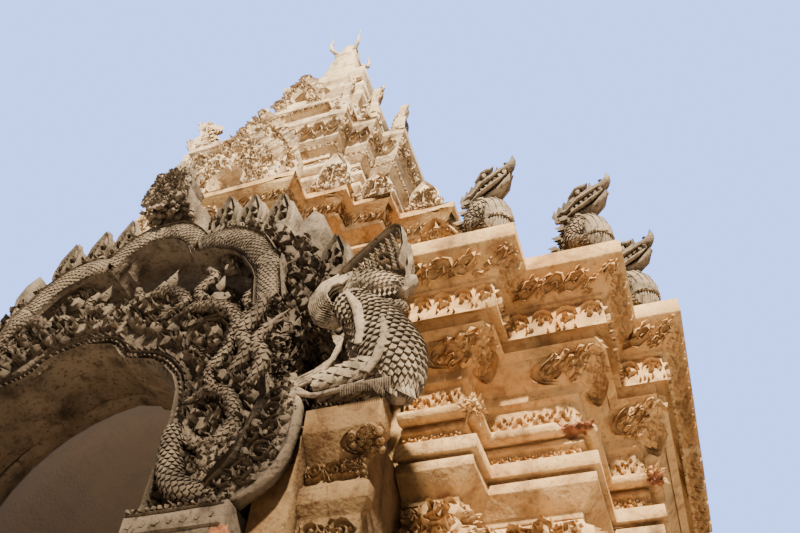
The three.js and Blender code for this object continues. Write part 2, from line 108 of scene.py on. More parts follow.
def stroke(carving, points, half, out, sink=0.006):
    """A raised ridge along points, half wide and out high at each, with a closed underside."""
    points = np.asarray(points, float)
    n = len(points)
    half = np.broadcast_to(half, n)
    out = np.broadcast_to(out, n)
    along = np.gradient(points, axis=0)
    along /= np.maximum(np.linalg.norm(along, axis=1, keepdims=True), 1e-9)
    side = np.stack([-along[:, 1], along[:, 0]], 1)
    verts = np.empty((n, 3, 3))
    verts[:, :, :2] = points[:, None] + side[:, None] * (half[:, None] * ACROSS)[:, :, None]
    verts[:, :, 2] = out[:, None] * RIDGE - sink * (RIDGE == 0)
    last = (n - 1) * 3
    ends = np.array([(0, 1, 2), (last, last + 2, last + 1)])
    carving.add(verts, np.concatenate([grid_tris(n, 3, True)[:, ::-1], ends]))


def bead(carving, x, y, radius, out, sides=5):
    """A small round boss."""
    angles = np.arange(sides) * 2 * math.pi / sides
    ring = np.stack([np.cos(angles), np.sin(angles), np.zeros(sides)], 1)
    low = ring * radius + (x, y, -0.004)
    mid = ring * radius * 0.75 + (x, y, out * 0.7)
    verts = np.concatenate([low, mid, [(x, y, out)], [(x, y, -0.004)]])
    tris = list(grid_tris(2, sides, True))
    for i in range(sides):
        j = (i + 1) % sides
        tris += [(sides + i, sides + j, 2 * sides), (j, i, 2 * sides + 1)]
    carving.add(verts, tris)


def spiral(cx, cy, radius, start, turns, n=11, inner=0.16):
    """Points of a curl that winds inwards to the share inner of its radius."""
    t = np.linspace(0, 1, n)
    angle = start + turns * 2 * math.pi * t
    r = radius * (inner + (1 - inner) * (1 - t) ** 0.85)
    return np.stack([cx + r * np.cos(angle), cy + r * np.sin(angle)], 1)


def taper(n, tip=0.25, foot=0.7):
    """Widths along a tendril: foot at its start, full soon after, tip at its end."""
    t = np.linspace(0, 1, n)
    return np.minimum(foot + (1 - foot) * t * 4, 1) * (1 - (1 - tip) * np.maximum(t - 0.25, 0) / 0.75)


def leaflet(carving, x, y, angle, length, bend, half, out, n=4):
    """A tapering ridged leaf that curls by bend from its foot."""
    t = np.linspace(0, 1, n)
    heading = angle + bend * t
    step = length / (n - 1)
    px = x + np.concatenate([[0], np.cumsum(np.cos(heading[1:]) * step)])
    py = y + np.concatenate([[0], np.cumsum(np.sin(heading[1:]) * step)])
    width = half * np.sin(math.pi * (0.25 + 0.72 * t)) + 0.0008
    stroke(carving, np.stack([px, py], 1), width, out * (1 - 0.35 * t))


def scroll(carving, cx, cy, radius, start, hand, out, turns=1.15, leaves=6, weight=0.15):
    """One curled tendril with flame leaves round its outside and a bud in its eye."""
    line = spiral(cx, cy, radius, start, hand * turns)
    stroke(carving, line, radius * weight * taper(len(line), 0.5), out * np.linspace(0.7, 1.0, len(line)))
    bead(carving, cx, cy, radius * 0.24, out * 1.1)
    for k in range(leaves):
        t = 0.02 + 0.62 * k / max(leaves - 1, 1)
        i = int(t * (len(line) - 1))
        px, py = line[i]
        away = math.atan2(py - cy, px - cx)
        leaflet(
            carving, px, py, away + hand * 0.2, radius * (0.95 - 0.4 * t), hand * 1.4, radius * 0.2,
            out * (0.95 - 0.3 * t))


def roundel(carving, cx, cy, radius, out):
    """A ring round a small flower."""
    angles = np.linspace(0, 2 * math.pi, 13)
    ring = np.stack([cx + radius * np.cos(angles), cy + radius * np.sin(angles)], 1)
    stroke(carving, ring, radius * 0.13, out)
    for k in range(6):
        angle = k * math.pi / 3
        leaflet(carving, cx, cy, angle, radius * 0.72, 0.6, radius * 0.16, out * 0.8)
    bead(carving, cx, cy, radius * 0.26, out * 1.1)


def rosette(carving, cx, cy, radius, out):
    """A boss of overlapping petals."""
    for ring, share in enumerate((1.0, 0.68, 0.4)):
        for k in range(8 - ring):
            angle = (k + ring * 0.5) * 2 * math.pi / (8 - ring)
            leaflet(carving, cx, cy, angle, radius * share, 0.5, radius * 0.26, out * (0.7 + 0.2 * ring))
    bead(carving, cx, cy, radius * 0.2, out * 1.2)


def running_scroll(carving, x0, x1, y0, y1, out, cell=0.95):
    """A vine that fills the band: a waving stem with a scroll in each bend and leaves between."""
    height = y1 - y0
    count = max(1, round((x1 - x0) / (height * cell)))
    length = (x1 - x0) / count
    radius = min(height * 0.46, length * 0.48)
    middle = (y0 + y1) / 2
    x = np.linspace(0, count, count * 6 + 1)
    turn = np.where(np.floor(x) % 2 == 0, 1, -1)
    wave = middle - turn * height * 0.42 * np.abs(np.sin(math.pi * x))
    stroke(carving, np.stack([x0 + x * length, wave], 1), height * 0.06, out * 0.85)
    for k in range(count):
        flip = 1 if k % 2 == 0 else -1
        cx = x0 + (k + 0.5) * length
        cy = middle + flip * height * 0.05
        scroll(
            carving, cx, cy, radius, -flip * math.pi * 0.65, -flip, out, turns=1.1, leaves=6, weight=0.24)
        for lean, size in ((0.0, 0.62), (0.8, 0.5), (-0.7, 0.42), (1.6, 0.36), (2.4, 0.3)):
            leaflet(
                carving, cx - length * 0.5, middle - flip * height * 0.08, flip * (math.pi / 2 - lean),
                height * size, -flip * 1.3, height * 0.10, out * rng.uniform(0.85, 1.1))


def leaf_row(carving, x0, x1, y0, y1, out, width):
    """A close row of small curly leaves, each with a round tip and two round lobes."""
    count = max(1, round((x1 - x0) / width))
    pitch = (x1 - x0) / count
    height = y1 - y0
    for k in range(count):
        x = x0 + (k + 0.5) * pitch + rng.uniform(-0.08, 0.08) * pitch
        size = height * rng.uniform(0.8, 1.0)
        hand = 1 if k % 2 == 0 else -1
        bead(carving, x, y0 + size * 0.26, pitch * 0.40, out * 0.55)
        bead(carving, x + hand * pitch * 0.10, y0 + size * 0.74, pitch * 0.24, out * 0.6)
        for side in (-1, 1):
            bead(carving, x + side * pitch * 0.36, y0 + size * 0.52, pitch * 0.22, out * 0.75)
        leaflet(carving, x, y0 + size * 0.1, math.pi / 2, size * 0.8, hand * 0.8, pitch * 0.2, out * 0.9)


def scallops(carving, x0, x1, y0, y1, out, pitch=0.115):
    """A strip of small curls under a waving line, with an uneven fringe of lobes at the foot."""
    count = max(1, round((x1 - x0) / pitch))
    step = (x1 - x0) / count
    height = y1 - y0
    t = np.linspace(0, math.pi, 9)
    for k in range(count):
        x = x0 + (k + 0.5) * step
        hand = 1 if k % 2 else -1
        arch = np.stack([x - step * 0.46 * np.cos(t), y0 + height * (0.52 + 0.36 * np.sin(t))], 1)
        stroke(carving, arch, step * 0.055, out * 0.7)
        scroll(
            carving, x, y0 + height * 0.55, step * 0.27, -0.6 * hand, hand, out * 0.8, leaves=5,
            weight=0.24)
        for _ in range(6):
            bead(
                carving, x + rng.uniform(-0.5, 0.5) * step, y0 + height * rng.uniform(0.04, 0.26),
                step * rng.uniform(0.05, 0.09), out * rng.uniform(0.5, 0.8))


def leaf_mask(carving, x0, x1, y0, y1, out, corner_right=True):
    """A half-round boss of small leaves with a double outline, that ends at a corner."""
    width = x1 - x0
    height = y1 - y0
    corner, away = (x1, -1) if corner_right else (x0, 1)
    t = np.linspace(0, 1, 18)
    for share in (1.0, 0.86):
        reach = width * share * np.sin(math.pi * (0.04 + 0.80 * t ** 0.8)) ** 0.55
        line = np.stack([corner + away * reach, y0 + height * (0.5 + (t - 0.5) * (0.3 + 0.7 * share))], 1)
        stroke(carving, line, min(width, height) * 0.022, out * 0.7)
    field = [(0.02, 0.08), (0.35, 0.14), (0.62, 0.28), (0.78, 0.5), (0.74, 0.78), (0.5, 0.92), (0.02, 0.94)]
    fill(
        carving, [(corner + away * width * u, y0 + height * v) for u, v in field],
        min(width, height) * 0.17, out, spacing=1.25, tries=400)


def bunch(carving, cx, y0, y1, half, out):
    """A big spray of flowers and curled leaves that fills a wall face under the cornice."""
    height = y1 - y0
    field = [
        (cx - half * 0.6, y0), (cx + half * 0.6, y0), (cx + half * 0.97, y0 + height * 0.5),
        (cx + half * 0.9, y1 - height * 0.06), (cx - half * 0.9, y1 - height * 0.06),
        (cx - half * 0.97, y0 + height * 0.5),
    ]
    fill(carving, field, min(half * 0.4, 0.062), out, spacing=1.3, tries=900)
    for _ in range(int(height * half * 180)):
        x = cx + rng.uniform(-0.8, 0.8) * half
        y = rng.uniform(y0, y1 - height * 0.1)
        leaflet(
            carving, x, y, rng.uniform(0, 2 * math.pi), rng.uniform(0.08, 0.15), rng.uniform(-1.6, 1.6),
            rng.uniform(0.014, 0.024), out * rng.uniform(1.0, 1.25), n=6)
    for level in (0.82, 0.5):
        rosette(carving, cx, y0 + height * level, min(half * 0.5, 0.085), out * 1.1)


def edge_leaf(carving, x, y0, y1, half, out):
    """A broad pointed leaf with a raised edge and two scrolls on it."""
    height = y1 - y0
    t = np.linspace(0, 1, 9)
    width = half * np.sin(math.pi * (0.30 + 0.69 * t)) ** 0.8
    stroke(carving, np.stack([np.full(9, x), y0 + height * t], 1), width, out * 0.5 * (1 - 0.3 * t))
    for side in (-1, 1):
        edge = np.stack([x + side * width * 0.86, y0 + height * t], 1)
        stroke(carving, edge, half * 0.12, out * 0.75)
        scroll(carving, x + side * half * 0.4, y0 + height * 0.30, half * 0.36, -side * 0.6, side, out)
        scroll(carving, x + side * half * 0.26, y0 + height * 0.56, half * 0.26, -side * 0.6, side, out)
    leaflet(carving, x, y0 + height * 0.1, math.pi / 2, height * 0.8, 0, half * 0.14, out * 1.1, n=6)


def plane(origin, across, up, outward):
    """Placement of (across, up, out) points on a flat face."""
    basis = np.array([across, up, outward], float)
    return lambda verts: np.asarray(origin) + verts @ basis


def upright(face):
    """Placement on an upright panel that faces the front at the distance face."""
    return plane((0, -face, 0), (1, 0, 0), (0, 0, 1), (0, -1, 0))


def smooth_line(points, count):
    """A smooth curve through the points, evenly spaced."""
    points = np.asarray(points, float)
    padded = np.concatenate([[2 * points[0] - points[1]], points, [2 * points[-1] - points[-2]]])
    dense = []
    for i in range(len(points) - 1):
        p0, p1, p2, p3 = padded[i:i + 4]
        t = np.linspace(0, 1, 12, endpoint=False)[:, None]
        dense.append(0.5 * (
            2 * p1 + (p2 - p0) * t + (2 * p0 - 5 * p1 + 4 * p2 - p3) * t ** 2
            + (3 * p1 - p0 - 3 * p2 + p3) * t ** 3))
    dense = np.concatenate([*dense, points[-1:]])
    return even_line(dense, count)


def even_line(points, count):
    """Points at equal distances along a line."""
    steps = np.linalg.norm(np.diff(points, axis=0), axis=1)
    walked = np.concatenate([[0], np.cumsum(steps)])
    at = np.linspace(0, walked[-1], count)
    return np.stack([np.interp(at, walked, points[:, i]) for i in range(points.shape[1])], 1)


def along(line, face):
    """Placement along a line on an upright panel: distance along it, distance to its left, out."""
    line = np.asarray(line, float)
    steps = np.linalg.norm(np.diff(line, axis=0), axis=1)
    walked = np.concatenate([[0], np.cumsum(steps)])
    ahead = np.gradient(line, axis=0)
    ahead /= np.linalg.norm(ahead, axis=1, keepdims=True)

    def place(verts):
        x, z, dx, dz = (
            np.interp(verts[:, 0], walked, column)
            for column in (line[:, 0], line[:, 1], ahead[:, 0], ahead[:, 1]))
        return np.stack([x - dz * verts[:, 1], -face - verts[:, 2], z + dx * verts[:, 1]], 1)

    return place, walked[-1]


def inside(polygon, x, y):
    """Whether a point lies in a polygon."""
    px, py = polygon[:, 0], polygon[:, 1]
    qx, qy = np.roll(px, -1), np.roll(py, -1)
    crosses = (py > y) != (qy > y)
    at = px + (y - py) / np.where(crosses, qy - py, 1) * (qx - px)
    return np.count_nonzero(crosses & (x < at)) % 2 == 1


def boss(carving, x, y, size, out):
    """A rounded lump with one scroll carved over it."""
    reach = size * 1.2
    lump = out * 0.55
    bead(carving, x, y, reach, lump, sides=7)
    curl = Carving()
    scroll(
        curl, 0, 0, size * 0.85, rng.uniform(0, 2 * math.pi), rng.choice((-1, 1)), out * 0.45,
        turns=rng.uniform(0.7, 1.1), leaves=6, weight=0.2)

    def over_lump(verts):
        away = np.clip(np.hypot(verts[:, 0], verts[:, 1]) / reach, 0, 1)
        lift = lump * (1 - away ** 2)
        return verts + np.column_stack([np.full(len(verts), x), np.full(len(verts), y), lift])

    carving.merge(curl, over_lump)


def fill(carving, polygon, size, out, spacing=1.5, tries=4000):
    """Dense foliage: carved lumps of about one size packed into a polygon, with leaves between them."""
    polygon = np.asarray(polygon, float)
    low, high = polygon.min(0), polygon.max(0)
    centres = []
    for _ in range(tries):
        x, y = rng.uniform(low, high)
        if not inside(polygon, x, y):
            continue
        if any((x - a) ** 2 + (y - b) ** 2 < (size * spacing) ** 2 for a, b in centres):
            continue
        centres.append((x, y))
        boss(carving, x, y, size * rng.uniform(0.75, 1.15), out * rng.uniform(0.75, 1.15))
    for _ in range(tries // 8):
        x, y = rng.uniform(low, high)
        if inside(polygon, x, y):
            leaflet(
                carving, x, y, rng.uniform(0, 2 * math.pi), size * 1.1, rng.choice((-1, 1)) * 1.4,
                size * 0.16, out * rng.uniform(0.5, 0.85))


def beads(carving, length, y, radius, out, pitch):
    """A row of bosses along y."""
    for x in np.arange(pitch / 2, length, pitch):
        bead(carving, x, y, radius, out)


def scale(carving, x, y, size, out):
    """One overlapping scale: a rounded plate that lifts towards its tip, along +x."""
    angles = np.linspace(-math.pi / 2, math.pi / 2, 5)
    rim = np.stack([size * 0.9 * np.cos(angles), size * 0.62 * np.sin(angles)], 1)
    lift = out * (0.25 + 0.75 * np.cos(angles))
    top = np.column_stack([x + rim[:, 0], y + rim[:, 1], lift])
    low = np.column_stack([x + rim[:, 0] * 0.9, y + rim[:, 1] * 0.9, np.full(5, -0.006)])
    back = [(x - size * 0.3, y, out * 0.4), (x - size * 0.3, y, -0.006)]
    tris = []
    for i in range(4):
        tris += [(i, i + 1, 10), (i + 5, 11, i + 6), (i, i + 5, i + 6), (i, i + 6, i + 1)]
    tris += [(0, 10, 11), (0, 11, 5), (4, 9, 11), (4, 11, 10)]
    carving.add(np.concatenate([top, low, back]), tris)


def scales(carving, x0, x1, y0, y1, size, out):
    """Staggered rows of scales over a patch."""
    rows = max(1, round((x1 - x0) / (size * 0.95)))
    columns = max(1, round((y1 - y0) / (size * 1.1)))
    for row in range(rows):
        shift = 0.5 if row % 2 else 0.0
        for column in range(columns):
            scale(
                carving, x0 + (row + 0.5) * (x1 - x0) / rows,
                y0 + (column + 0.25 + shift) * (y1 - y0) / columns, size, out)


class Limb:
    """A rounded body along a curve in space; side is the direction of its flat width."""

    def __init__(self, points, radii, side=(0, 1, 0), flat=1.0, rings=None):
        points = np.asarray(points, float)
        rings = rings or len(points) * 3
        joined = smooth_line(np.column_stack([points, radii]), rings)
        self.line = joined[:, :3]
        self.radii = np.maximum(joined[:, 3], 0.001)
        self.ahead = np.gradient(self.line, axis=0)
        self.ahead /= np.linalg.norm(self.ahead, axis=1, keepdims=True)
        side = np.asarray(side, float)
        self.side = side - self.ahead * (self.ahead @ side)[:, None]
        self.side /= np.linalg.norm(self.side, axis=1, keepdims=True)
        self.up = np.cross(self.side, self.ahead)
        self.flat = flat
        self.length = np.linalg.norm(np.diff(self.line, axis=0), axis=1).sum()

    def point(self, share, angle, out=0.0):
        """Point on the skin: share along, angle round from up towards side, distance out."""
        at = np.asarray(share) * (len(self.line) - 1)
        index = np.arange(len(self.line))

        def read(table):
            return np.stack([np.interp(at, index, table[:, i]) for i in range(3)], -1)

        radius = np.interp(at, index, self.radii)
        round_up = (np.cos(angle) * (radius + out))[..., None] * read(self.up)
        round_side = (np.sin(angle) * (radius * self.flat + out))[..., None] * read(self.side)
        return read(self.line) + round_up + round_side

    def skin(self, carving, sides=12):
        rings = len(self.line)
        share = np.repeat(np.linspace(0, 1, rings), sides)
        angle = np.tile(np.arange(sides) * 2 * math.pi / sides, rings)
        verts = np.concatenate([self.point(share, angle), self.line[:1], self.line[-1:]])
        tris = list(grid_tris(rings, sides, True))
        last = (rings - 1) * sides
        for i in range(sides):
            j = (i + 1) % sides
            tris += [(j, i, rings * sides), (last + i, last + j, rings * sides + 1)]
        carving.add(verts, np.array(tris))

    def surface(self):
        """Placement of (share along, angle times radius, out) points on the skin."""
        middle = float(np.median(self.radii))
        return lambda v: self.point(v[:, 0] / self.length, v[:, 1] / middle, v[:, 2]), middle

    def scaled(self, carving, size, out, start=0.05, end=0.95, half_turn=math.pi):
        """Scales whose tips point to the lower end of the limb."""
        place, middle = self.surface()
        rising = self.line[-1, 2] > self.line[0, 2]
        piece = Carving()
        scales(
            piece, self.length * start, self.length * end, -half_turn * middle, half_turn * middle,
            size, out)
        if rising:
            carving.merge(piece, lambda v: place(v * (-1, -1, 1) + (self.length, 0, 0)), flip=True)
        else:
            carving.merge(piece, place, flip=True)

    def fin(self, carving, angle, start, end, count, length, half, lean=0.6, out=0.012):
        """Flame-shaped leaves standing along the skin at one angle."""
        for share in np.linspace(start, end, count):
            foot = self.point(np.array([share]), np.array([angle]), np.array([-0.01]))[0]
            tip = self.point(np.array([share]), np.array([angle]), np.array([length]))[0]
            index = int(share * (len(self.line) - 1))
            flame(carving, foot, tip - foot, self.ahead[index] * lean, half, out)


def flame(carving, foot, rise, lean, half, thick):
    """A curved leaf-shaped spike that stands free: foot, direction and lean of its tip."""
    rise = np.asarray(rise, float)
    lean = np.asarray(lean, float)
    length = np.linalg.norm(rise)
    rows = 5
    t = np.linspace(0, 1, rows)[:, None]
    line = foot + rise * t + lean * length * (t ** 2 - 0.35 * t)
    width_way = np.cross(rise, np.cross(lean, rise))
    width_way /= max(np.linalg.norm(width_way), 1e-9)
    thick_way = np.cross(rise / length, width_way)
    half_width = half * np.sin(math.pi * (0.22 + 0.77 * t)) + 0.001
    thickness = thick * (1 - 0.7 * t)
    verts = np.stack([
        line - width_way * half_width, line + thick_way * thickness, line + width_way * half_width,
        line - thick_way * thickness], 1)
    last = (rows - 1) * 4
    ends = [(0, 2, 1), (0, 3, 2), (last, last + 1, last + 2), (last, last + 2, last + 3)]
    carving.add(verts, np.concatenate([grid_tris(rows, 4, True), np.array(ends)])[:, ::-1])


def ball(carving, centre, radius, squash=(1, 1, 1), rings=5, sides=6):
    """A small rounded lump."""
    polar = np.linspace(0.0, math.pi, rings)[1:-1]
    angles = np.arange(sides) * 2 * math.pi / sides
    verts = np.concatenate([
        np.stack([np.sin(p) * np.cos(angles), np.sin(p) * np.sin(angles), np.full(sides, np.cos(p))], 1)
        for p in polar] + [[(0, 0, 1), (0, 0, -1)]])
    last = (len(polar) - 1) * sides
    top = len(polar) * sides
    tris = list(grid_tris(len(polar), sides, True)[:, ::-1])
    for i in range(sides):
        j = (i + 1) % sides
        tris += [(i, j, top), (last + j, last + i, top + 1)]
    carving.add(verts * radius * np.array(squash) + centre, np.array(tris))


MIRRORS = {
    "front_right": (1, 1), "front_left": (-1, 1), "back_right": (1, -1), "back_left": (-1, -1),
}
SHARP_ANGLE = math.radians(50)
KEPT_SHARE = 0.31
TOWER_SHARE = 0.20


def mesh_of(name, verts, tris):
    """Mesh data from arrays of points and triangles."""
    mesh = bpy.data.meshes.new(name)
    mesh.vertices.add(len(verts))
    mesh.vertices.foreach_set("co", np.ascontiguousarray(verts, np.float32).ravel())
    mesh.loops.add(len(tris) * 3)
    mesh.loops.foreach_set("vertex_index", np.ascontiguousarray(tris, np.int32).ravel())
    mesh.polygons.add(len(tris))
    mesh.polygons.foreach_set("loop_start", np.arange(0, len(tris) * 3, 3, dtype=np.int32))
    mesh.polygons.foreach_set("loop_total", np.full(len(tris), 3, np.int32))
    mesh.update(calc_edges=True)
    mesh.validate()
    return mesh


def add_piece(name, mesh, slot):
    """A new piece of the gate from mesh data."""
    mesh.shade_smooth()
    mesh.set_sharp_from_angle(angle=SHARP_ANGLE)
    mesh.materials.append(LOOKS[slot])
    piece = bpy.data.objects.new(name, mesh)
    bpy.context.collection.objects.link(piece)
    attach(piece, "root")
    return piece


def lightened(verts, tris, share):
    """The same closed shapes in about this share of their triangles, without the ones that go flat."""
    mesh = mesh_of("full_carving", verts, tris)
    full = bpy.data.objects.new("full_carving", mesh)
    bpy.context.collection.objects.link(full)
    thin = full.modifiers.new("thin", "DECIMATE")
    thin.ratio = share
    thin.use_collapse_triangulate = True
    light = bpy.data.meshes.new_from_object(full.evaluated_get(bpy.context.evaluated_depsgraph_get()))
    points = np.empty(len(light.vertices) * 3, np.float32)
    light.vertices.foreach_get("co", points)
    corners = np.empty(len(light.loops), np.int32)
    light.loops.foreach_get("vertex_index", corners)
    bpy.data.objects.remove(full)
    bpy.data.meshes.remove(mesh)
    bpy.data.meshes.remove(light)
    tris = corners.reshape(-1, 3)
    _, same, times = np.unique(np.sort(tris, axis=1), axis=0, return_inverse=True, return_counts=True)
    flattened = times[same.ravel()] > 1
    used, tris = np.unique(tris[~flattened], return_inverse=True)
    return points.reshape(-1, 3)[used], tris.reshape(-1, 3)


def add_quadrants(name, carving, slot, stands_for=None, share=KEPT_SHARE):
    """The same carving on the four corners of the gate, in place of the nodes named after it."""
    verts, tris = lightened(*carving.arrays(), share)
    for corner, (sx, sy) in MIRRORS.items():
        faces = tris if sx * sy > 0 else tris[:, ::-1]
        name_here = f"{corner}_{name}"
        piece = add_piece(name_here, mesh_of(name_here, verts * (sx, sy, 1), faces), slot)
        if stands_for:
            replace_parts(piece, f"{corner}_{stands_for}")


def step_faces(steps, inset, start):
    """Straight faces of one stepped quadrant as (left end, right end), seen from outside."""
    faces = []
    x_from = start
    for i, (x, y) in enumerate(steps):
        faces.append(((x_from, -(y - inset)), (x - inset, -(y - inset))))
        y_to = steps[i + 1][1] - inset if i + 1 < len(steps) else 0.0
        faces.append(((x - inset, -(y - inset)), (x - inset, -y_to)))
        x_from = x - inset
    return faces


def on_steps(carving, steps, start, low, high, draw):
    """Draws on each face of a sloping band between low and high, each (inset, z)."""
    lower = step_faces(steps, low[0], start)
    for k, (a, b) in enumerate(lower):
        front = k % 2 == 0
        a, b = np.array([*a, low[1]]), np.array([*b, low[1]])
        run = b - a
        length = np.linalg.norm(run)
        if length < 0.08:
            continue
        across = run / length
        side = np.cross(across, (0, 0, 1))
        rise = np.array([0, 0, high[1] - low[1]]) + side * (low[0] - high[0])
        height = np.linalg.norm(rise)
        up = rise / height
        piece = Carving()
        draw(piece, length, height, front)
        slant = (low[0] - high[0]) / height * (1 if front else -1)
        base = plane(a, across, up, np.cross(across, up))

        def leaning(verts):
            shift = np.zeros_like(verts)
            shift[:, 0] = verts[:, 1] * slant
            return base(verts + shift)

        carving.merge(piece, leaning)


# Materials


BREAKS = [((2.47, -1.375, 3.99), 0.085), ((2.565, -1.375, 3.985), 0.06), ((2.80, -0.88, 3.93), 0.06)]
BREAK_SHIFT = 0.06
CAPITAL_BREAK = ((1.26, -2.05, 3.22), 0.06)
BRICK = (0.36, 0.145, 0.07)
BRICK_DARK = (0.16, 0.065, 0.035)
# Colour multiplied in as a painted shadow over the arch panels and their capitals
PANEL_SHADOW_COLOUR = (0.24, 0.22, 0.21)
# Bounds of the painted shade inside the passage
PASSAGE_HALF = 0.79
PASSAGE_TOP = 4.6


class Graph:
    """The nodes of one new material, with short ways to add to them."""

    def __init__(self, name):
        self.material = bpy.data.materials.new(name)
        self.material.use_nodes = True
        self.nodes = self.material.node_tree.nodes
        self.links = self.material.node_tree.links
        self.shader = self.nodes["Principled BSDF"]
        self.place = self.nodes.new("ShaderNodeTexCoord").outputs["Object"]

    def add(self, kind, **settings):
        """A new node with its settings."""
        node = self.nodes.new(f"ShaderNode{kind}")
        for setting, value in settings.items():
            setattr(node, setting, value)
        return node

    def feed(self, socket, value):
        """Gives a socket a number, a colour or the output of another node."""
        if isinstance(value, (int, float)):
            socket.default_value = value
        elif isinstance(value, tuple):
            socket.default_value = (*value, 1)
        else:
            self.links.new(value, socket)

    def math(self, operation, first, second):
        """One sum of two values."""
        node = self.add("Math", operation=operation)
        self.feed(node.inputs[0], first)
        self.feed(node.inputs[1], second)
        return node.outputs[0]

    def times(self, first, second):
        """The product of two values."""
        return self.math("MULTIPLY", first, second)

    def mix(self, factor, first, second, mode="MIX"):
        """The first colour with the second laid over it."""
        node = self.add("Mix", data_type="RGBA", blend_type=mode)
        for socket, value in ((0, factor), (6, first), (7, second)):
            self.feed(node.inputs[socket], value)
        return node.outputs[2]

    def fade(self, value, low, high, at_low=0.0, at_high=1.0):
        """Goes from at_low to at_high as the value goes from low to high."""
        node = self.add("MapRange")
        node.inputs["From Min"].default_value = low
        node.inputs["From Max"].default_value = high
        node.inputs["To Min"].default_value = at_low
        node.inputs["To Max"].default_value = at_high
        self.links.new(value, node.inputs["Value"])
        return node.outputs["Result"]

    def noise(self, scale, detail, place=None):
        """Noise fixed to the gate."""
        node = self.add("TexNoise")
        node.inputs["Scale"].default_value = scale
        node.inputs["Detail"].default_value = detail
        self.links.new(place or self.place, node.inputs["Vector"])
        return node

    def cloud(self, scale, detail, low, high, stretch=1.0):
        """Patches of noise cut off between low and high; a small stretch draws them out downwards."""
        drawn = self.add("Mapping")
        drawn.inputs["Scale"].default_value = (1, 1, stretch)
        self.links.new(self.place, drawn.inputs["Vector"])
        node = self.noise(scale, detail, drawn.outputs["Vector"])
        node.inputs["Roughness"].default_value = 0.62
        return self.fade(node.outputs["Fac"], low, high)

    def nudged(self, scale, detail, reach):
        """Places moved by noise, up to reach."""
        node = self.add("VectorMath", operation="MULTIPLY_ADD")
        self.links.new(self.noise(scale, detail).outputs["Color"], node.inputs[0])
        node.inputs[1].default_value = (reach, reach, reach)
        self.links.new(self.place, node.inputs[2])
        return node.outputs["Vector"]

    def axes(self, vector):
        """The three parts of a vector."""
        node = self.add("SeparateXYZ")
        self.links.new(vector, node.inputs["Vector"])
        return node.outputs


def mottled(graph, light, deep, stain, grime, speckle):
    """Plaster in two tones with stains, specks and streaks of rain."""
    colour = graph.mix(graph.cloud(2.2, 6, 0.35, 0.68), light, deep)
    colour = graph.mix(graph.times(graph.cloud(9.0, 8, 0.5, 0.68), 0.7), colour, stain)
    colour = graph.mix(graph.times(graph.cloud(38, 5, 0.54, 0.66), speckle), colour, stain)
    return graph.mix(graph.times(graph.cloud(5.0, 6, 0.54, 0.70, 0.12), 0.55), colour, grime)


def stain_and_shade_hollows(graph, colour, stain, share, reach):
    """Stain and painted shade in places that stand closer than reach to other surfaces."""
    hollow = graph.add("AmbientOcclusion", samples=4)
    hollow.inputs["Distance"].default_value = reach
    shade = graph.fade(hollow.outputs["AO"], 0.15, 0.75, 1.0, 0.0)
    return graph.mix(graph.times(shade, share), colour, stain)


def growth(graph, colour, grime, cover):
    """Dark growth on what faces up."""
    normal = graph.axes(graph.add("NewGeometry").outputs["Normal"])
    facing = graph.fade(normal["Z"], -0.3, 0.9)
    patches = graph.times(graph.cloud(4.5, 10, 0.42, 0.62), facing)
    return graph.mix(graph.times(patches, cover), colour, grime)


def cracked(graph, colour, stain):
    """Fine cracks between wandering cells, in some places only."""
    cells = graph.add("TexVoronoi", feature="DISTANCE_TO_EDGE")
    cells.inputs["Scale"].default_value = 1.7
    graph.links.new(graph.nudged(3.0, 5, 0.35), cells.inputs["Vector"])
    crack = graph.fade(cells.outputs["Distance"], 0.0, 0.007, 1.0, 0.0)
    shown = graph.times(crack, graph.cloud(1.3, 3, 0.5, 0.56))
    return graph.mix(graph.times(shown, 0.7), colour, stain)


def paint_panel_shadow(graph, colour, share):
    """A painted shadow that darkens the arch panels and their capitals."""
    place = graph.axes(graph.place)
    width = graph.math("ABSOLUTE", place["X"], 0.0)
    depth = graph.math("ABSOLUTE", place["Y"], 0.0)
    height = place["Z"]
    capital = graph.times(graph.fade(height, 3.82, 3.74), graph.fade(width, 1.84, 1.76))
    shadowed = graph.math("MAXIMUM", graph.fade(width, 1.44, 1.32), capital)
    shadowed = graph.times(shadowed, graph.fade(depth, 1.40, 1.52))
    shadowed = graph.times(shadowed, graph.fade(height, 6.4, 4.9))
    shadowed = graph.times(shadowed, graph.fade(height, 2.5, 3.2))
    return graph.mix(graph.times(shadowed, share), colour, PANEL_SHADOW_COLOUR, "MULTIPLY")


def paint_passage_shade(graph, colour, shade_colour):
    """Painted shade on the passage's walls and vault."""
    place = graph.axes(graph.place)
    within = graph.math("LESS_THAN", graph.math("ABSOLUTE", place["X"], 0.0), PASSAGE_HALF)
    below = graph.math("LESS_THAN", place["Z"], PASSAGE_TOP)
    return graph.mix(graph.times(graph.times(within, below), 0.92), colour, shade_colour)


def bare_brick(graph, colour, centre, radius):
    """Brick in a frayed round patch where the plaster is gone."""
    near = graph.add("VectorMath", operation="DISTANCE")
    near.inputs[1].default_value = centre
    graph.links.new(graph.nudged(14, 4, 0.12), near.inputs[0])
    bare = graph.fade(near.outputs["Value"], radius, radius * 0.8)
    return graph.mix(bare, colour, graph.mix(graph.cloud(26, 4, 0.4, 0.6), BRICK, BRICK_DARK))


def gritty(graph):
    """A fine bump over the whole surface."""
    bump = graph.add("Bump")
    bump.inputs["Strength"].default_value = 0.5
    bump.inputs["Distance"].default_value = 0.012
    graph.links.new(graph.noise(55, 8).outputs["Fac"], bump.inputs["Height"])
    graph.links.new(bump.outputs["Normal"], graph.shader.inputs["Normal"])


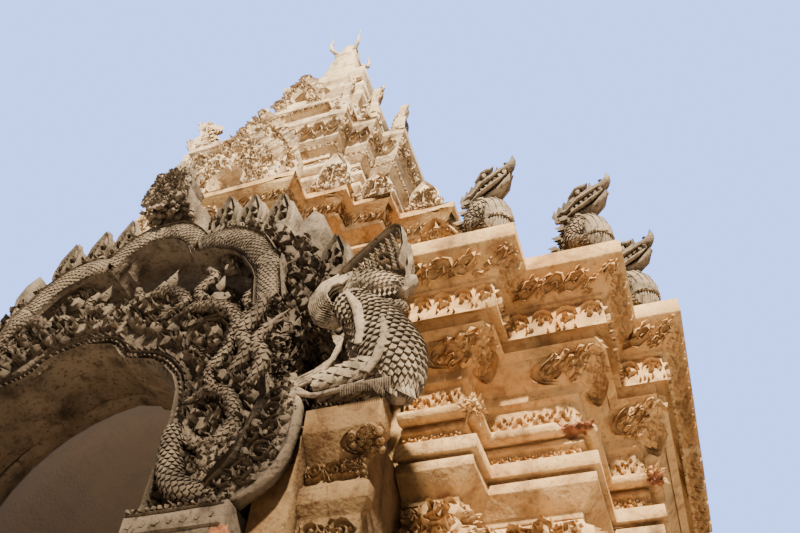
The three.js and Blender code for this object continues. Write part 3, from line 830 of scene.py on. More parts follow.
def stucco(
        name, light, deep, stain, grime, grime_cover, hollows=0.55, reach=0.05, speckle=0.5, panel=0.0,
        passage=None, breaks=()):
    """Lime stucco: mottled, with stain and painted shade in the hollows, cracked, dark with growth where it
    faces up.

    A painted shadow darkens the arch panels and their capitals by the share panel. The colour passage
    is painted shade for the inside of the passage; breaks are places of bare brick, as (centre, radius)."""
    graph = Graph(name)
    graph.shader.inputs["Roughness"].default_value = 0.9
    graph.shader.inputs["Specular IOR Level"].default_value = 0.2
    colour = mottled(graph, light, deep, stain, grime, speckle)
    # Stain and painted shade in the hollows
    colour = stain_and_shade_hollows(graph, colour, stain, hollows, reach)
    colour = growth(graph, colour, grime, grime_cover)
    colour = cracked(graph, colour, stain)
    # Painted shadow over the arch panels and their capitals
    if panel:
        colour = paint_panel_shadow(graph, colour, panel)
    # Painted shade inside the passage
    if passage:
        colour = paint_passage_shade(graph, colour, passage)
    for centre, radius in breaks:
        colour = bare_brick(graph, colour, centre, radius)
    graph.links.new(colour, graph.shader.inputs["Base Color"])
    gritty(graph)
    return graph.material


# Each look: hollows and reach set the stain and painted shade in hollows; panel is a painted shadow on the
# arch panels and capitals; passage is painted shade inside the passage
WARM = stucco(
    "warm_stucco", (0.72, 0.49, 0.24), (0.53, 0.29, 0.11), (0.23, 0.10, 0.04), (0.09, 0.07, 0.05), 0.5,
    hollows=0.5, reach=0.05, panel=0.93, passage=(0.20, 0.185, 0.185),
    breaks=[(tuple(v + BREAK_SHIFT for v in centre), radius) for centre, radius in BREAKS])
PALE = stucco(
    "pale_stucco", (0.80, 0.65, 0.45), (0.66, 0.47, 0.28), (0.15, 0.08, 0.035), (0.14, 0.11, 0.08), 0.3,
    hollows=1.0, reach=0.09, speckle=0.35)
GREY = stucco(
    "weathered_stucco", (0.40, 0.315, 0.225), (0.20, 0.150, 0.105), (0.045, 0.030, 0.018),
    (0.06, 0.05, 0.04), 0.8, hollows=0.95, reach=0.09, speckle=0.7, panel=0.78, breaks=[CAPITAL_BREAK])
LOOKS = {"warm_stucco": WARM, "pale_stucco": PALE, "weathered_stucco": GREY}


# Masonry: worn copies of the solids


TORN_CELL = 0.022
SCROLL_LEAF_FACE = 2.100
BEHIND_EVERYTHING = 9.0
SLOTS = {entry["node"]: entry["material_slot"] for entry in frame["record"]["subparts"]}
MASONRY = (
    "plinth", "wall", "cornice", "storey", "vault", "pier", "spire", "finial", "arch", "pediment", "niche",
    "scroll_leaf",
)


def too_long(edge, cell, breaks):
    """Whether an edge is longer than the cells allow, which are finer near a broken place."""
    middle = (edge.verts[0].co + edge.verts[1].co) / 2
    length = edge.calc_length()
    torn = any(
        (middle - Vector(centre)).length < radius * 1.15 + length / 2 for centre, radius in breaks)
    return length > (TORN_CELL if torn else cell * 1.5)


def split_long_edges(bm, cell, breaks):
    """Cuts the faces into cells of about one size."""
    for _ in range(7):
        long_edges = [edge for edge in bm.edges if too_long(edge, cell, breaks)]
        if not long_edges:
            break
        bmesh.ops.subdivide_edges(bm, edges=long_edges, cuts=1)
        bmesh.ops.triangulate(bm, faces=bm.faces)


def wear_surface(bm, wear, breaks):
    """Pushes points in unevenly, and deeply where the masonry is broken."""
    bm.normal_update()
    for v in bm.verts:
        rough = noise.fractal(v.co * 2.3, 1.0, 2.0, 4) * 0.5 + 0.5
        v.co -= v.normal * wear * min(max(rough, 0), 1)
        for centre, radius in breaks:
            near = 1 - (v.co - Vector(centre)).length / radius
            if near > 0:
                torn = 0.6 + 0.8 * noise.fractal(v.co * 22, 1.0, 2.0, 3)
                v.co -= v.normal * 0.045 * min(near * 3, 1) * max(torn, 0.1)


def worn_copy(node, bevel=0.005, cell=0.22, wear=0.006):
    """The node's solid with rounded edges, an uneven hand-laid surface and broken places.

    A scroll leaf farther out than its carved face is pushed back to it."""
    breaks = BREAKS if node == "right_cornice" else ()
    depth = SCROLL_LEAF_FACE if "scroll_leaf" in node else BEHIND_EVERYTHING
    source = frame["nodes"][node]
    bm = bmesh.new()
    bm.from_mesh(source.data)
    bm.transform(source.matrix_world)
    for v in bm.verts:
        v.co.y = min(max(v.co.y, -depth), depth)
    bmesh.ops.remove_doubles(bm, verts=bm.verts, dist=1e-5)
    bmesh.ops.dissolve_limit(bm, angle_limit=0.01, verts=bm.verts, edges=bm.edges)
    sharp = [e for e in bm.edges if len(e.link_faces) == 2 and e.calc_face_angle() > 0.2]
    bmesh.ops.bevel(
        bm, geom=sharp, offset=bevel, segments=1, profile=0.5, affect="EDGES", clamp_overlap=True)
    bmesh.ops.triangulate(bm, faces=bm.faces)
    split_long_edges(bm, cell, breaks)
    wear_surface(bm, wear, breaks)
    name = f"{node}_stucco"
    mesh = bpy.data.meshes.new(name)
    bm.to_mesh(mesh)
    bm.free()
    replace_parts(add_piece(name, mesh, SLOTS[node]), node)


def dress_solids():
    """Worn stucco in place of the masonry, and a look for every other solid."""
    for node, item in frame["nodes"].items():
        if any(word in node for word in MASONRY):
            worn_copy(node)
        else:
            item.data.materials.clear()
            item.data.materials.append(LOOKS[SLOTS[node]])


dress_solids()


# Carving on the body

BROKEN_STEP = 1
ARCH_FACE = 2.040
BAND_FACE = 1.840
FLAME_FACE = 1.760
RECESS_FACE = 1.620
ARCH_EDGE = [
    (0.710, 3.30), (0.710, 3.60), (0.710, 3.89), (0.66, 4.09), (0.51, 4.24), (0.300, 4.31),
    (0.20, 4.42), (0.10, 4.455), (-0.004, 4.472),
]
ARCH_FIELD = [
    (0.84, 3.32), (0.84, 3.9), (0.79, 4.16), (0.6, 4.36), (0.38, 4.44), (0.28, 4.54), (0.0, 4.60),
    (0.0, 4.79), (0.46, 4.73), (0.84, 4.55), (1.03, 4.32), (1.11, 4.1), (1.11, 3.32),
]
ARCH_SERPENTS = (
    ([(0.56, 4.52), (0.72, 4.555), (0.88, 4.50), (0.965, 4.36), (0.95, 4.18), (0.89, 4.06), (0.93, 3.95)],
     0.034),
    ([(1.00, 4.02), (1.07, 4.16), (1.01, 4.28), (1.06, 4.42), (1.10, 4.52)], 0.045),
    ([(1.12, 3.94), (1.16, 4.08), (1.10, 4.20), (1.17, 4.33)], 0.042),
    ([(0.80, 3.90), (0.94, 3.94), (1.05, 3.86), (1.085, 3.70), (1.0, 3.63), (0.89, 3.67), (0.84, 3.80)],
     0.032),
    ([(0.30, 4.66), (0.42, 4.75), (0.55, 4.70), (0.60, 4.60), (0.50, 4.56)], 0.034),
)
BAND_INNER = [
    (0.86, 4.70), (0.82, 4.94), (0.80, 5.03), (0.77, 5.10), (0.66, 5.26), (0.52, 5.35), (0.40, 5.39),
    (0.29, 5.38), (0.23, 5.49), (0.12, 5.58), (-0.005, 5.61),
]
BAND_OUTER = [
    (1.06, 4.70), (0.98, 5.06), (0.97, 5.17), (0.91, 5.25), (0.80, 5.43), (0.66, 5.54), (0.51, 5.58),
    (0.38, 5.56), (0.28, 5.68), (0.15, 5.78), (-0.005, 5.80),
]
FLAME_FIELD = [
    (0.1, 6.02), (0.35, 5.78), (0.75, 5.64), (1.0, 5.42), (1.22, 5.1), (1.32, 4.8), (1.56, 4.5),
    (1.58, 3.80), (1.22, 3.80), (1.15, 4.2), (1.12, 4.72),
]
LEAF_TIPS = [(1.27, 5.33), (1.06, 5.69), (0.815, 5.92), (0.59, 5.99), (0.39, 6.05)]
BROKEN_LEAF = 1
PEAK_FACE = 1.980
PEAK_EDGE = [(0.13, 5.86), (0.165, 5.98), (0.12, 6.11), (0.13, 6.19), (0.04, 6.27), (0.0, 6.30)]


def body_band(carving, low, high, draw):
    """Draws on each face of the body between low and high, each (inset, height over the slab's foot)."""
    low = (low[0], SLAB_BOTTOM + low[1])
    high = (high[0], SLAB_BOTTOM + high[1])
    on_steps(carving, BODY_STEPS, BAY_HALF, low, high, draw)


def vine_band(carving, length, height, front):
    """A vine that ends in a pair of scrolls at the corner."""
    leaf = min(0.13, length * 0.4)
    start, end = (0.01, length - leaf) if front else (leaf, length - 0.01)
    running_scroll(carving, start, end, 0, height, 0.033)
    left = length - leaf if front else 0.0
    for across, up, size in ((0.30, 0.30, 0.30), (0.70, 0.62, 0.34)):
        scroll(
            carving, left + leaf * across, height * up, height * size, rng.uniform(0, 6),
            rng.choice((-1, 1)), 0.030, turns=1.0, leaves=8, weight=0.26)


def corner_mask(carving, length, height, front):
    """A leaf mask at the corner end of a face."""
    width = min(0.28, length * 0.8)
    start = length - width if front else 0
    end = length if front else width
    leaf_mask(carving, start, end, 0.005, height, 0.075, front)


def corner_spray(carving, length, height, front):
    """A spray of leaves at the corner end of a face."""
    width = min(0.54, length - 0.01)
    bunch(carving, length - width / 2 if front else width / 2, 0, height, width / 2, 0.10)


def flat_roll(carving, length, height, rows, share, out):
    """A plain ledge along a face."""
    stroke(carving, [(x, height / 2) for x in np.linspace(0, length, rows)], height * share, out)


def corner_knob(carving, x, y):
    """A ball of leaves under one corner of the cove."""
    knob = np.array([x - 0.325, -(y - 0.325), SLAB_BOTTOM - 0.81])
    for _ in range(70):
        around = rng.normal(size=3)
        around /= np.linalg.norm(around)
        lean = rng.normal(size=3) * 0.8
        flame(carving, knob + around * 0.025, around * rng.uniform(0.025, 0.04), lean, 0.022, 0.014)
        ball(
            carving, knob + around * rng.uniform(0.035, 0.05), rng.uniform(0.010, 0.018), rings=4, sides=5)


def carve_cornice():
    """Scroll band under the slab, carved strip, two leaf rows and the leaf masks on the cove."""
    carving = Carving()

    def strip(c, length, height, front):
        scallops(c, 0, length, 0, height, 0.036)

    def ledge(c, length, height, front):
        flat_roll(c, length, height, 10, 0.5, 0.04)

    def row(c, length, height, front):
        leaf_row(c, 0.01, length - 0.01, 0, height, 0.032, 0.056)

    body_band(carving, (0.120, -0.128), (0.026, -0.033), vine_band)
    body_band(carving, (0.150, -0.345), (0.156, -0.172), strip)
    body_band(carving, (0.226, -0.425), (0.222, -0.365), ledge)
    body_band(carving, (0.387, -0.730), (0.387, -0.612), row)
    body_band(carving, (0.385, -0.938), (0.385, -0.872), row)
    body_band(carving, (0.352, -0.524), (0.224, -0.394), corner_mask)
    body_band(carving, (0.420, -1.960), (0.420, -1.225), corner_spray)
    for step, (x, y) in enumerate(BODY_STEPS):
        if step != BROKEN_STEP:
            corner_knob(carving, x, y)
    return carving


def carve_slab_gable():
    """A low scroll gable on the front edge of the body slab."""
    carving = Carving()
    x, foot, top, half = 1.917, 4.883, 5.145, 0.150
    leaf = Carving()
    outline = smooth_line(
        [(x - half, foot), (x - half * 0.7, 5.00), (x, top), (x + half * 0.7, 5.00), (x + half, foot)], 26)
    stroke(leaf, outline, 0.007, 0.050)
    for px, pz in outline[1:24]:
        leaflet(leaf, px, pz, math.atan2(pz - foot + 0.05, px - x), 0.035, 0.8, 0.011, 0.05)
    field = [(x + half * side, z) for side, z in ((-0.9, foot), (0.9, foot), (0.4, 5.04), (-0.4, 5.04))]
    fill(leaf, field, 0.042, 0.07)
    core = np.linspace(foot, top - 0.01, 8)
    width = half * (1 - ((core - foot) / (top - foot)) ** 1.5) + 0.004
    stroke(leaf, np.stack([np.full(8, x), core], 1), width, 0.035)
    for side in (-1, 1):
        carving.merge(leaf, plane((0, -1.83, 0), (1, 0, 0), (0, 0, 1), (0, side, 0)), flip=side > 0)
    return carving


def coiled_serpent(carving, points, thick):
    """A scaled body along points on the arch panel that ends in a spray of leaves."""
    depth = -ARCH_FACE - 0.045
    thickness = np.linspace(thick, thick * 0.8, len(points))
    thickness[0] *= 0.4
    thickness[-1] *= 0.5
    body = Limb([(x, depth, z) for x, z in points], thickness, rings=34)
    body.skin(carving, 10)
    body.scaled(carving, thick * 0.7, 0.011)
    tip = np.array([points[-1][0], depth, points[-1][1]])
    onward = tip - np.array([points[-2][0], depth, points[-2][1]])
    onward /= np.linalg.norm(onward)
    for _ in range(14):
        spread = onward + rng.normal(size=3) * (0.55, 0.2, 0.55)
        flame(carving, tip - onward * 0.03, spread * 0.055, rng.normal(size=3) * 0.4, 0.014, 0.012)


def carve_arch():
    """Beaded rim, dense foliage and coiled serpents on the arch panel."""
    carving = Carving()
    place, length = along(smooth_line(ARCH_EDGE, 60), ARCH_FACE)
    edging = Carving()
    steps = np.linspace(0, length, 70)
    for side, half in ((-0.012, 0.011), (-0.066, 0.009)):
        stroke(edging, [(x, side) for x in steps], half, 0.026)
    beads(edging, length, -0.039, 0.014, 0.028, 0.032)
    for x in np.arange(0.03, length - 0.02, 0.045):
        leaflet(edging, x, -0.07, -math.pi / 2 + 0.5, 0.055, 1.2, 0.014, 0.045)
        leaflet(edging, x, -0.01, math.pi / 2 - 0.5, 0.030, -1.0, 0.009, 0.02)
    carving.merge(edging, place)
    foliage = Carving()
    fill(foliage, ARCH_FIELD, 0.050, 0.090)
    for radius, half in ((0.135, 0.010), (0.115, 0.007)):
        angles = np.linspace(0, 2 * math.pi, 33)
        ring = np.stack([0.80 + radius * np.cos(angles), 4.34 + radius * np.sin(angles)], 1)
        stroke(foliage, ring, half, 0.05)
    carving.merge(foliage, upright(ARCH_FACE))
    for points, thick in ARCH_SERPENTS:
        coiled_serpent(carving, points, thick)
    return carving


def rim_line(carving, line, side):
    """Two lines and a row of beads along one edge of the cusped roll."""
    place, length = along(line, BAND_FACE)
    rim = Carving()
    for shift in (0.008, 0.034):
        stroke(rim, [(x, -side * shift) for x in np.linspace(0, length, 24)], 0.008, 0.022)
    beads(rim, length, side * -0.021, 0.010, 0.022, 0.026)
    carving.merge(rim, place)


def scaled_roll(carving, first, last):
    """One scaled length of the cusped roll with its two rims."""
    inner = smooth_line(BAND_INNER[first:last], 24)
    outer = smooth_line(BAND_OUTER[first:last], 24)
    half = np.linalg.norm(outer - inner, axis=1) / 2
    roll = Limb(
        [(x, -BAND_FACE + 0.03, z) for x, z in (inner + outer) / 2], half * 0.86, flat=0.75, rings=30)
    roll.skin(carving, 16)
    roll.scaled(carving, 0.026, 0.008, 0.0, 1.0, math.pi * 0.8)
    rim_line(carving, inner, 1)
    rim_line(carving, outer, -1)


def panel_foliage(carving, polygon, size, out, place):
    """Foliage that fills a polygon on a flat face."""
    leaves = Carving()
    fill(leaves, polygon, size, out)
    carving.merge(leaves, place)


def carve_peak(carving):
    """The curled leaves on and under the peak."""
    for _ in range(46):
        under = np.array([rng.uniform(0.0, 0.16), rng.uniform(-1.97, -1.80), rng.uniform(5.84, 5.92)])
        away = np.array([rng.uniform(-0.2, 0.6), rng.uniform(-1, 0.2), rng.uniform(-1.0, 0.2)])
        flame(carving, under, away * 0.045, rng.normal(size=3) * 0.5, 0.022, 0.014)
        ball(carving, under + away * 0.02, rng.uniform(0.014, 0.024), rings=4, sides=5)
    crown = [(0.01, 5.88), (0.13, 5.90), (0.15, 5.98), (0.11, 6.10), (0.11, 6.18), (0.01, 6.26)]
    panel_foliage(carving, crown, 0.045, 0.05, upright(PEAK_FACE))
    for x, z in smooth_line(PEAK_EDGE, 12):
        for depth in (1.80, 1.87, 1.94):
            lift = rng.uniform(0.10, 0.15)
            flame(
                carving, (x - 0.05, -depth, z - 0.06), (lift * 0.2, rng.uniform(-0.03, 0.03), lift),
                (-0.5, 0, 0.6), 0.042, 0.02)
    for k, (x, z) in enumerate(((0.01, 6.24), (0.04, 6.12), (0.08, 6.0), (0.02, 6.02), (0.02, 5.90))):
        foot = (x, -PEAK_FACE + 0.02, z)
        flame(carving, foot, (0.01 + 0.02 * k, 0, 0.15), (-0.4, 0, 0.2), 0.055, 0.035)


def carve_pediment():
    """Cusped roll with its beaded rim, carved leaves along the edge, and the peak."""
    carving = Carving()
    for first, last in ((0, 4), (3, 8), (7, 11)):
        scaled_roll(carving, first, last)
    flames = Carving()
    for k, (x, z) in enumerate(LEAF_TIPS):
        if k != BROKEN_LEAF:
            edge_leaf(flames, x, z - 0.36, z, 0.088, 0.05)
    fill(flames, BAND_OUTER[:0:-1] + FLAME_FIELD, 0.050, 0.075)
    carving.merge(flames, upright(FLAME_FACE))
    foot = [(0.87, 4.50), (1.07, 4.50), (1.06, 4.76), (0.86, 4.74)]
    panel_foliage(carving, foot, 0.040, 0.07, upright(BAND_FACE))
    flank = [(-2.02, 4.05), (-1.80, 4.05), (-1.80, 4.55), (-2.02, 4.30)]
    panel_foliage(carving, flank, 0.045, 0.05, plane((1.10, 0, 0), (0, 1, 0), (0, 0, 1), (1, 0, 0)))
    carve_peak(carving)
    return carving


def seated_figure(carving, x, y, z, height):
    """A small seated figure with folded legs and a pointed crown, plain in the face."""
    def part(points, radii, sides, flat=1.0):
        line = [(x + side * height, y - out * height, z + up * height) for side, up, out in points]
        Limb(line, np.array(radii) * height, flat=flat).skin(carving, sides)

    trunk = [(0, 0.05, 0), (0, 0.25, 0.03), (0, 0.45, 0.05), (0, 0.54, 0.05)]
    part(trunk, [0.16, 0.13, 0.14, 0.05], 12, 0.7)
    ball(carving, (x, y - 0.08 * height, z + 0.64 * height), 0.095 * height, (0.9, 0.95, 1.15))
    part([(0, 0.70, 0.07), (0, 0.80, 0.06), (0, 0.98, 0.05)], [0.08, 0.05, 0.008], 10)
    for side in (-1, 1):
        arm = [(side * 0.15, 0.47, 0.05), (side * 0.24, 0.30, 0.08), (side * 0.08, 0.22, 0.20)]
        part(arm, [0.05, 0.045, 0.035], 8)
        leg = [(side * 0.08, 0.08, 0.08), (side * 0.30, 0.10, 0.14), (side * 0.02, 0.06, 0.24)]
        part(leg, [0.08, 0.07, 0.04], 8)


def carve_recess():
    """Seated figures, coiled serpents and foliage that fill the recess under the cusped roll."""
    carving = Carving()
    seated_figure(carving, 0.24, -1.83, 4.86, 0.40)
    seated_figure(carving, 0.60, -1.83, 4.76, 0.34)
    for points in (
        [(0.36, 4.84), (0.44, 4.98), (0.38, 5.10), (0.46, 5.22), (0.40, 5.30)],
        [(0.72, 4.70), (0.80, 4.82), (0.74, 4.93), (0.80, 5.02)],
        [(0.05, 4.84), (0.12, 5.0), (0.05, 5.12), (0.10, 5.26)],
    ):
        body = Limb([(x, -1.76, z) for x, z in points], np.linspace(0.045, 0.025, len(points)), rings=26)
        body.skin(carving, 10)
        body.scaled(carving, 0.03, 0.010)
    field = [(0.03, 4.83), (0.5, 4.76), (0.8, 4.66), (0.78, 5.0), (0.6, 5.14), (0.25, 5.22), (0.03, 5.3)]
    panel_foliage(carving, field, 0.055, 0.09, upright(RECESS_FACE))
    return carving


def carve_scroll_leaf():
    """The tall scroll leaf on the inner capital: plain rim, ringed cells, ribs and a serpent beside it."""
    carving = Carving()
    face = SCROLL_LEAF_FACE
    rim = Limb(
        [(x, -face + 0.02, z) for x, z in (
            (1.12, 3.325), (1.22, 3.335), (1.345, 3.44), (1.388, 3.60), (1.392, 3.76), (1.350, 3.94))],
        [0.018, 0.024, 0.026, 0.024, 0.022, 0.008], flat=1.3)
    rim.skin(carving, 12)
    plate = Carving()
    for x, z, radius in (
        (1.29, 3.73, 0.042), (1.30, 3.63, 0.045), (1.275, 3.53, 0.045), (1.21, 3.45, 0.045),
        (1.22, 3.62, 0.035), (1.29, 3.82, 0.032), (1.13, 3.42, 0.04),
    ):
        roundel(plate, x, z, radius, 0.034)
    for shift in (0.0, 0.018, 0.036, 0.054):
        line = [(1.00, 3.36 + shift), (1.10, 3.43 + shift), (1.17, 3.54 + shift), (1.20, 3.70 + shift)]
        line.append((1.27, 3.88 + shift / 2))
        stroke(plate, smooth_line(line, 14), 0.007 * taper(14, 0.2, 0.4), 0.05 * taper(14, 0.5))
    field = [
        (0.9, 3.33), (1.18, 3.34), (1.33, 3.5), (1.37, 3.75), (1.335, 3.92), (1.28, 3.78), (1.17, 3.68),
        (1.0, 3.62), (0.91, 3.5)]
    fill(plate, field, 0.032, 0.030, spacing=1.3)
    carving.merge(plate, upright(face))
    serpent = Limb(
        [(1.12, -2.07, 3.37), (0.98, -2.085, 3.38), (0.87, -2.09, 3.46), (0.815, -2.085, 3.60),
         (0.79, -2.08, 3.72), (0.77, -2.07, 3.82)],
        [0.03, 0.052, 0.056, 0.050, 0.042, 0.012], rings=34)
    serpent.skin(carving, 14)
    serpent.scaled(carving, 0.026, 0.011)
    for angle in (math.pi * 0.30, math.pi * 0.62):
        for share in np.linspace(0.06, 0.94, 30):
            ball(carving, serpent.point(share, angle, 0.006), 0.009, rings=4, sides=5)
    return carving


def carve_outer_capital():
    """Scroll bands and corner leaves on the outer capital."""
    carving = Carving()
    outer_front, outer_side, depth = 2.000, 1.6947, 0.045
    for origin, across, outward, length in (
        ((1.435, -outer_front, 0), (1, 0, 0), (0, -1, 0), outer_side - 1.435),
        ((outer_side, -outer_front, 0), (0, 1, 0), (1, 0, 0), depth),
    ):
        piece = Carving()
        if length > 0.1:
            running_scroll(piece, 0.01, length - 0.01, 3.415, 3.50, 0.026, cell=0.9)
            running_scroll(piece, 0.01, length - 0.01, 3.13, 3.24, 0.026, cell=0.9)
            leaf_mask(piece, length - 0.13, length, 3.42, 3.50, 0.03)
        carving.merge(piece, plane(origin, across, (0, 0, 1), outward))
    slope = np.array([0, -0.09, 0.10])
    slope = slope / np.linalg.norm(slope)
    corner = Carving()
    leaf_mask(corner, 0.0, 0.17, 0.01, 0.125, 0.028)
    carving.merge(
        corner, plane((1.60, -outer_front, 3.50), (1, 0, 0), slope, np.cross((1, 0, 0), slope)))
    return carving


def carve_inner_capital():
    """A worn band of squares between two ledges, with a fringe of curls over it."""
    band = Carving()
    for z in (3.195, 3.285):
        line = [(x, z + rng.uniform(-0.003, 0.003)) for x in np.linspace(0.735, 1.185, 24)]
        stroke(band, line, 0.007, 0.007)
    for x in np.arange(0.765, 1.14, 0.062):
        bead(band, x, 3.24, rng.uniform(0.014, 0.024), 0.005)
    for x in np.arange(0.745, 1.18, 0.03):
        bead(band, x, 3.30, rng.uniform(0.010, 0.016), 0.014)
    carving = Carving()
    carving.merge(band, upright(2.150))
    return carving


BEAST_Y = -2.03


def at_beast(points, depth=0.0):
    """Points in the upright plane of the sea beast, moved out by depth."""
    return [(x, BEAST_Y - depth, z) for x, z in points]


def beast_trunk(carving):
    """The scaled body with its fin, two ridges and two ribs."""
    body = Limb(
        at_beast([
            (1.80, 3.735), (1.83, 3.80), (1.80, 3.95), (1.735, 4.12), (1.66, 4.26), (1.58, 4.36),
            (1.56, 4.46)]),
        [0.02, 0.085, 0.145, 0.140, 0.115, 0.10, 0.09], flat=0.76, rings=40)
    body.skin(carving, 20)
    body.scaled(carving, 0.031, 0.017, 0.03, 0.93)
    body.fin(carving, math.pi, 0.06, 0.66, 16, 0.045, 0.022, lean=-0.7)
    for angle in (math.pi * 0.22, math.pi * 0.30):
        ridge = body.point(np.linspace(0.12, 0.85, 20), np.full(20, angle), np.full(20, 0.014))
        Limb(ridge, np.full(20, 0.010), rings=40).skin(carving, 6)
    for points, thick, depth in (
        ([(1.57, 4.38), (1.63, 4.26), (1.665, 4.12), (1.66, 4.02)], 0.026, 0.10),
        ([(1.77, 4.14), (1.79, 4.02), (1.76, 3.90), (1.72, 3.83)], 0.024, 0.115),
    ):
        rib = Limb(at_beast(points, depth), [thick * 0.5, thick, thick, thick * 0.7], flat=0.6)
        rib.skin(carving, 8)


def beast_foot(carving):
    """Tendrils that sweep from the chest, the thigh, and toes with their claws."""
    for shift in (0.0, 0.016, 0.032, 0.048):
        tendril = Limb(
            at_beast([
                (1.51 + shift * 0.3, 4.13 - shift * 0.6), (1.56 - shift * 0.3, 4.10 - shift),
                (1.54 - shift * 0.5, 4.00 - shift), (1.46, 3.935 - shift), (1.38, 3.90 - shift),
                (1.37 + shift, 3.83 - shift * 0.2), (1.47, 3.79), (1.60, 3.80), (1.74, 3.83)], 0.07),
            [0.006, 0.009, 0.010, 0.010, 0.010, 0.011, 0.012, 0.012, 0.008], rings=44)
        tendril.skin(carving, 6)
    thigh = Limb(
        at_beast([(1.45, 3.86), (1.58, 3.87), (1.72, 3.90), (1.82, 3.88)], 0.03), [0.05, 0.07, 0.07, 0.04])
    thigh.skin(carving, 12)
    thigh.scaled(carving, 0.04, 0.018)
    for k in range(22):
        x = 1.60 + 0.0105 * k
        toe = [
            (x, BEAST_Y - 0.085, 3.805), (x + 0.002, BEAST_Y - 0.100, 3.785),
            (x + 0.004, BEAST_Y - 0.09, 3.745)]
        Limb(toe, [0.004, 0.0062, 0.003]).skin(carving, 6)
    for k in range(9):
        claw = (1.755 + 0.016 * k, BEAST_Y - 0.05 + 0.01 * (k % 3), 3.83 - 0.004 * k)
        reach = (0.012 * (k - 3) / 3, -0.008, -0.085 - 0.006 * (k % 3))
        flame(carving, claw, reach, (0.3, 0, 0), 0.020, 0.012)


def beast_skull(carving):
    """The scaled skull with bristling cheeks, wavy folds and a ringed eye."""
    skull = Limb(
        at_beast([(1.50, 4.44), (1.60, 4.50), (1.70, 4.49), (1.79, 4.45), (1.845, 4.40)]),
        [0.08, 0.095, 0.085, 0.055, 0.03], flat=0.85)
    skull.skin(carving, 14)
    skull.scaled(carving, 0.026, 0.010, 0.02, 0.9)
    for _ in range(26):
        cheek = skull.point(rng.uniform(0.15, 0.65), rng.uniform(math.pi * 0.15, math.pi * 0.8), 0.0)
        bristle = (rng.uniform(0.02, 0.05), -0.02, rng.uniform(-0.04, 0.02))
        flame(carving, cheek, bristle, (0, -1, 0), 0.013, 0.012)
    for angle in (math.pi * 0.35, math.pi * 0.5, math.pi * 0.62, math.pi * 0.74):
        shares = np.linspace(0.05, 0.97, 22)
        wavy = skull.point(shares, angle + 0.16 * np.sin(shares * 21), np.full(22, 0.006))
        Limb(wavy, np.full(22, 0.0085), rings=44).skin(carving, 6)
    eye_share, eye_angle = 0.48, math.pi * 0.44
    for turn in (0.0, 0.5):
        wide, tall = 0.085 * (1 - turn), 0.42 * (1 - turn)
        ring = [
            skull.point(eye_share + wide * math.cos(a), eye_angle + tall * math.sin(a), 0.014)
            for a in np.linspace(0, 2 * math.pi, 14)]
        Limb(ring, np.full(14, 0.008), side=(0.1, 0, 1), rings=28).skin(carving, 6)
    ball(carving, skull.point(eye_share, eye_angle, 0.012), 0.014)


def beast_snout(carving):
    """The curled snout and the scaled lower jaw."""
    snout = Limb(
        at_beast([(1.80, 4.43), (1.85, 4.44), (1.865, 4.49), (1.84, 4.52)]), [0.035, 0.035, 0.025, 0.01])
    snout.skin(carving, 10)
    jaw = Limb(
        at_beast([(1.60, 4.34), (1.70, 4.315), (1.79, 4.30), (1.83, 4.33)]), [0.05, 0.055, 0.045, 0.02])
    jaw.skin(carving, 12)
    jaw.scaled(carving, 0.022, 0.009, 0.0, 0.95)


def beast_crest(carving):
    """The pointed crest on the head, feathered on both faces."""
    crest = Carving()
    outline = np.array([(1.50, 4.55), (1.62, 4.69), (1.785, 4.84), (1.835, 4.70), (1.82, 4.54)])
    feather = 0.034
    for row in range(9):
        t = row / 9
        left = np.array([1.53 + 0.235 * t, 4.54 + 0.27 * t])
        right = np.array([1.81 - 0.02 * t, 4.54 + 0.27 * t])
        for k in range(max(1, int(round(np.linalg.norm(right - left) / feather)))):
            leaflet(
                crest, left[0] + (k + 0.5) * feather, left[1] - 0.01, 1.2, 0.045, 0.2, 0.016, 0.045)
    stroke(crest, smooth_line(outline, 24), 0.010, 0.055)
    stroke(crest, smooth_line(outline * 0.9 + outline.mean(0) * 0.1, 24), 0.005, 0.050)
    roundel(crest, 1.735, 4.60, 0.034, 0.050)
    for side in (-1, 1):
        face = plane((0, BEAST_Y + side * 0.045, 0), (1, 0, 0), (0, 0, 1), (0, side, 0))
        carving.merge(crest, face, flip=side > 0)


def beast_mane(carving):
    """Swept strands of the mane over the back of the head."""
    for layer in range(3):
        for k in range(11):
            sweep_line = spiral(1.51, 4.40, 0.065 + 0.013 * k, 1.1 + 0.06 * layer, 0.50, n=12, inner=0.75)
            strand = Limb(
                at_beast(sweep_line, 0.095 - 0.005 * k - 0.022 * layer), np.linspace(0.0125, 0.004, 12),
                rings=18)
            strand.skin(carving, 6)
    nape = Limb(
        at_beast([(1.42, 4.52), (1.39, 4.42), (1.44, 4.34), (1.52, 4.33)], -0.02), [0.03, 0.06, 0.05, 0.03])
    nape.skin(carving, 12)


def carve_sea_beast():
    """The scaled sea beast on the outer capital, with the foliage behind it."""
    carving = Carving()
    for part in (beast_trunk, beast_foot, beast_skull, beast_snout, beast_crest, beast_mane):
        part(carving)
    for side in (-1, 1):
        for k in range(6):
            tooth = np.array([1.66 + k * 0.026, BEAST_Y + side * 0.04, 4.36])
            flame(carving, tooth, (0, 0, 0.035), (0.01, 0, 0), 0.009, 0.007)
            flame(carving, tooth + (0, 0, 0.065), (0, 0, -0.03), (0.01, 0, 0), 0.009, 0.007)
    field = [(1.22, 3.80), (1.42, 3.80), (1.44, 4.0), (1.36, 4.3), (1.34, 4.62), (1.22, 4.62)]
    panel_foliage(carving, field, 0.055, 0.10, upright(1.80))
    return carving


GUARDIANS = [(2.215, 1.785, 0.60), (2.715, 1.525, 0.59), (2.900, 1.015, 0.60)]
TOWER_NAGAS = [(0.752, 1.127, 0.54), (0.980, 0.958, 0.58), (1.190, 0.771, 0.46)]


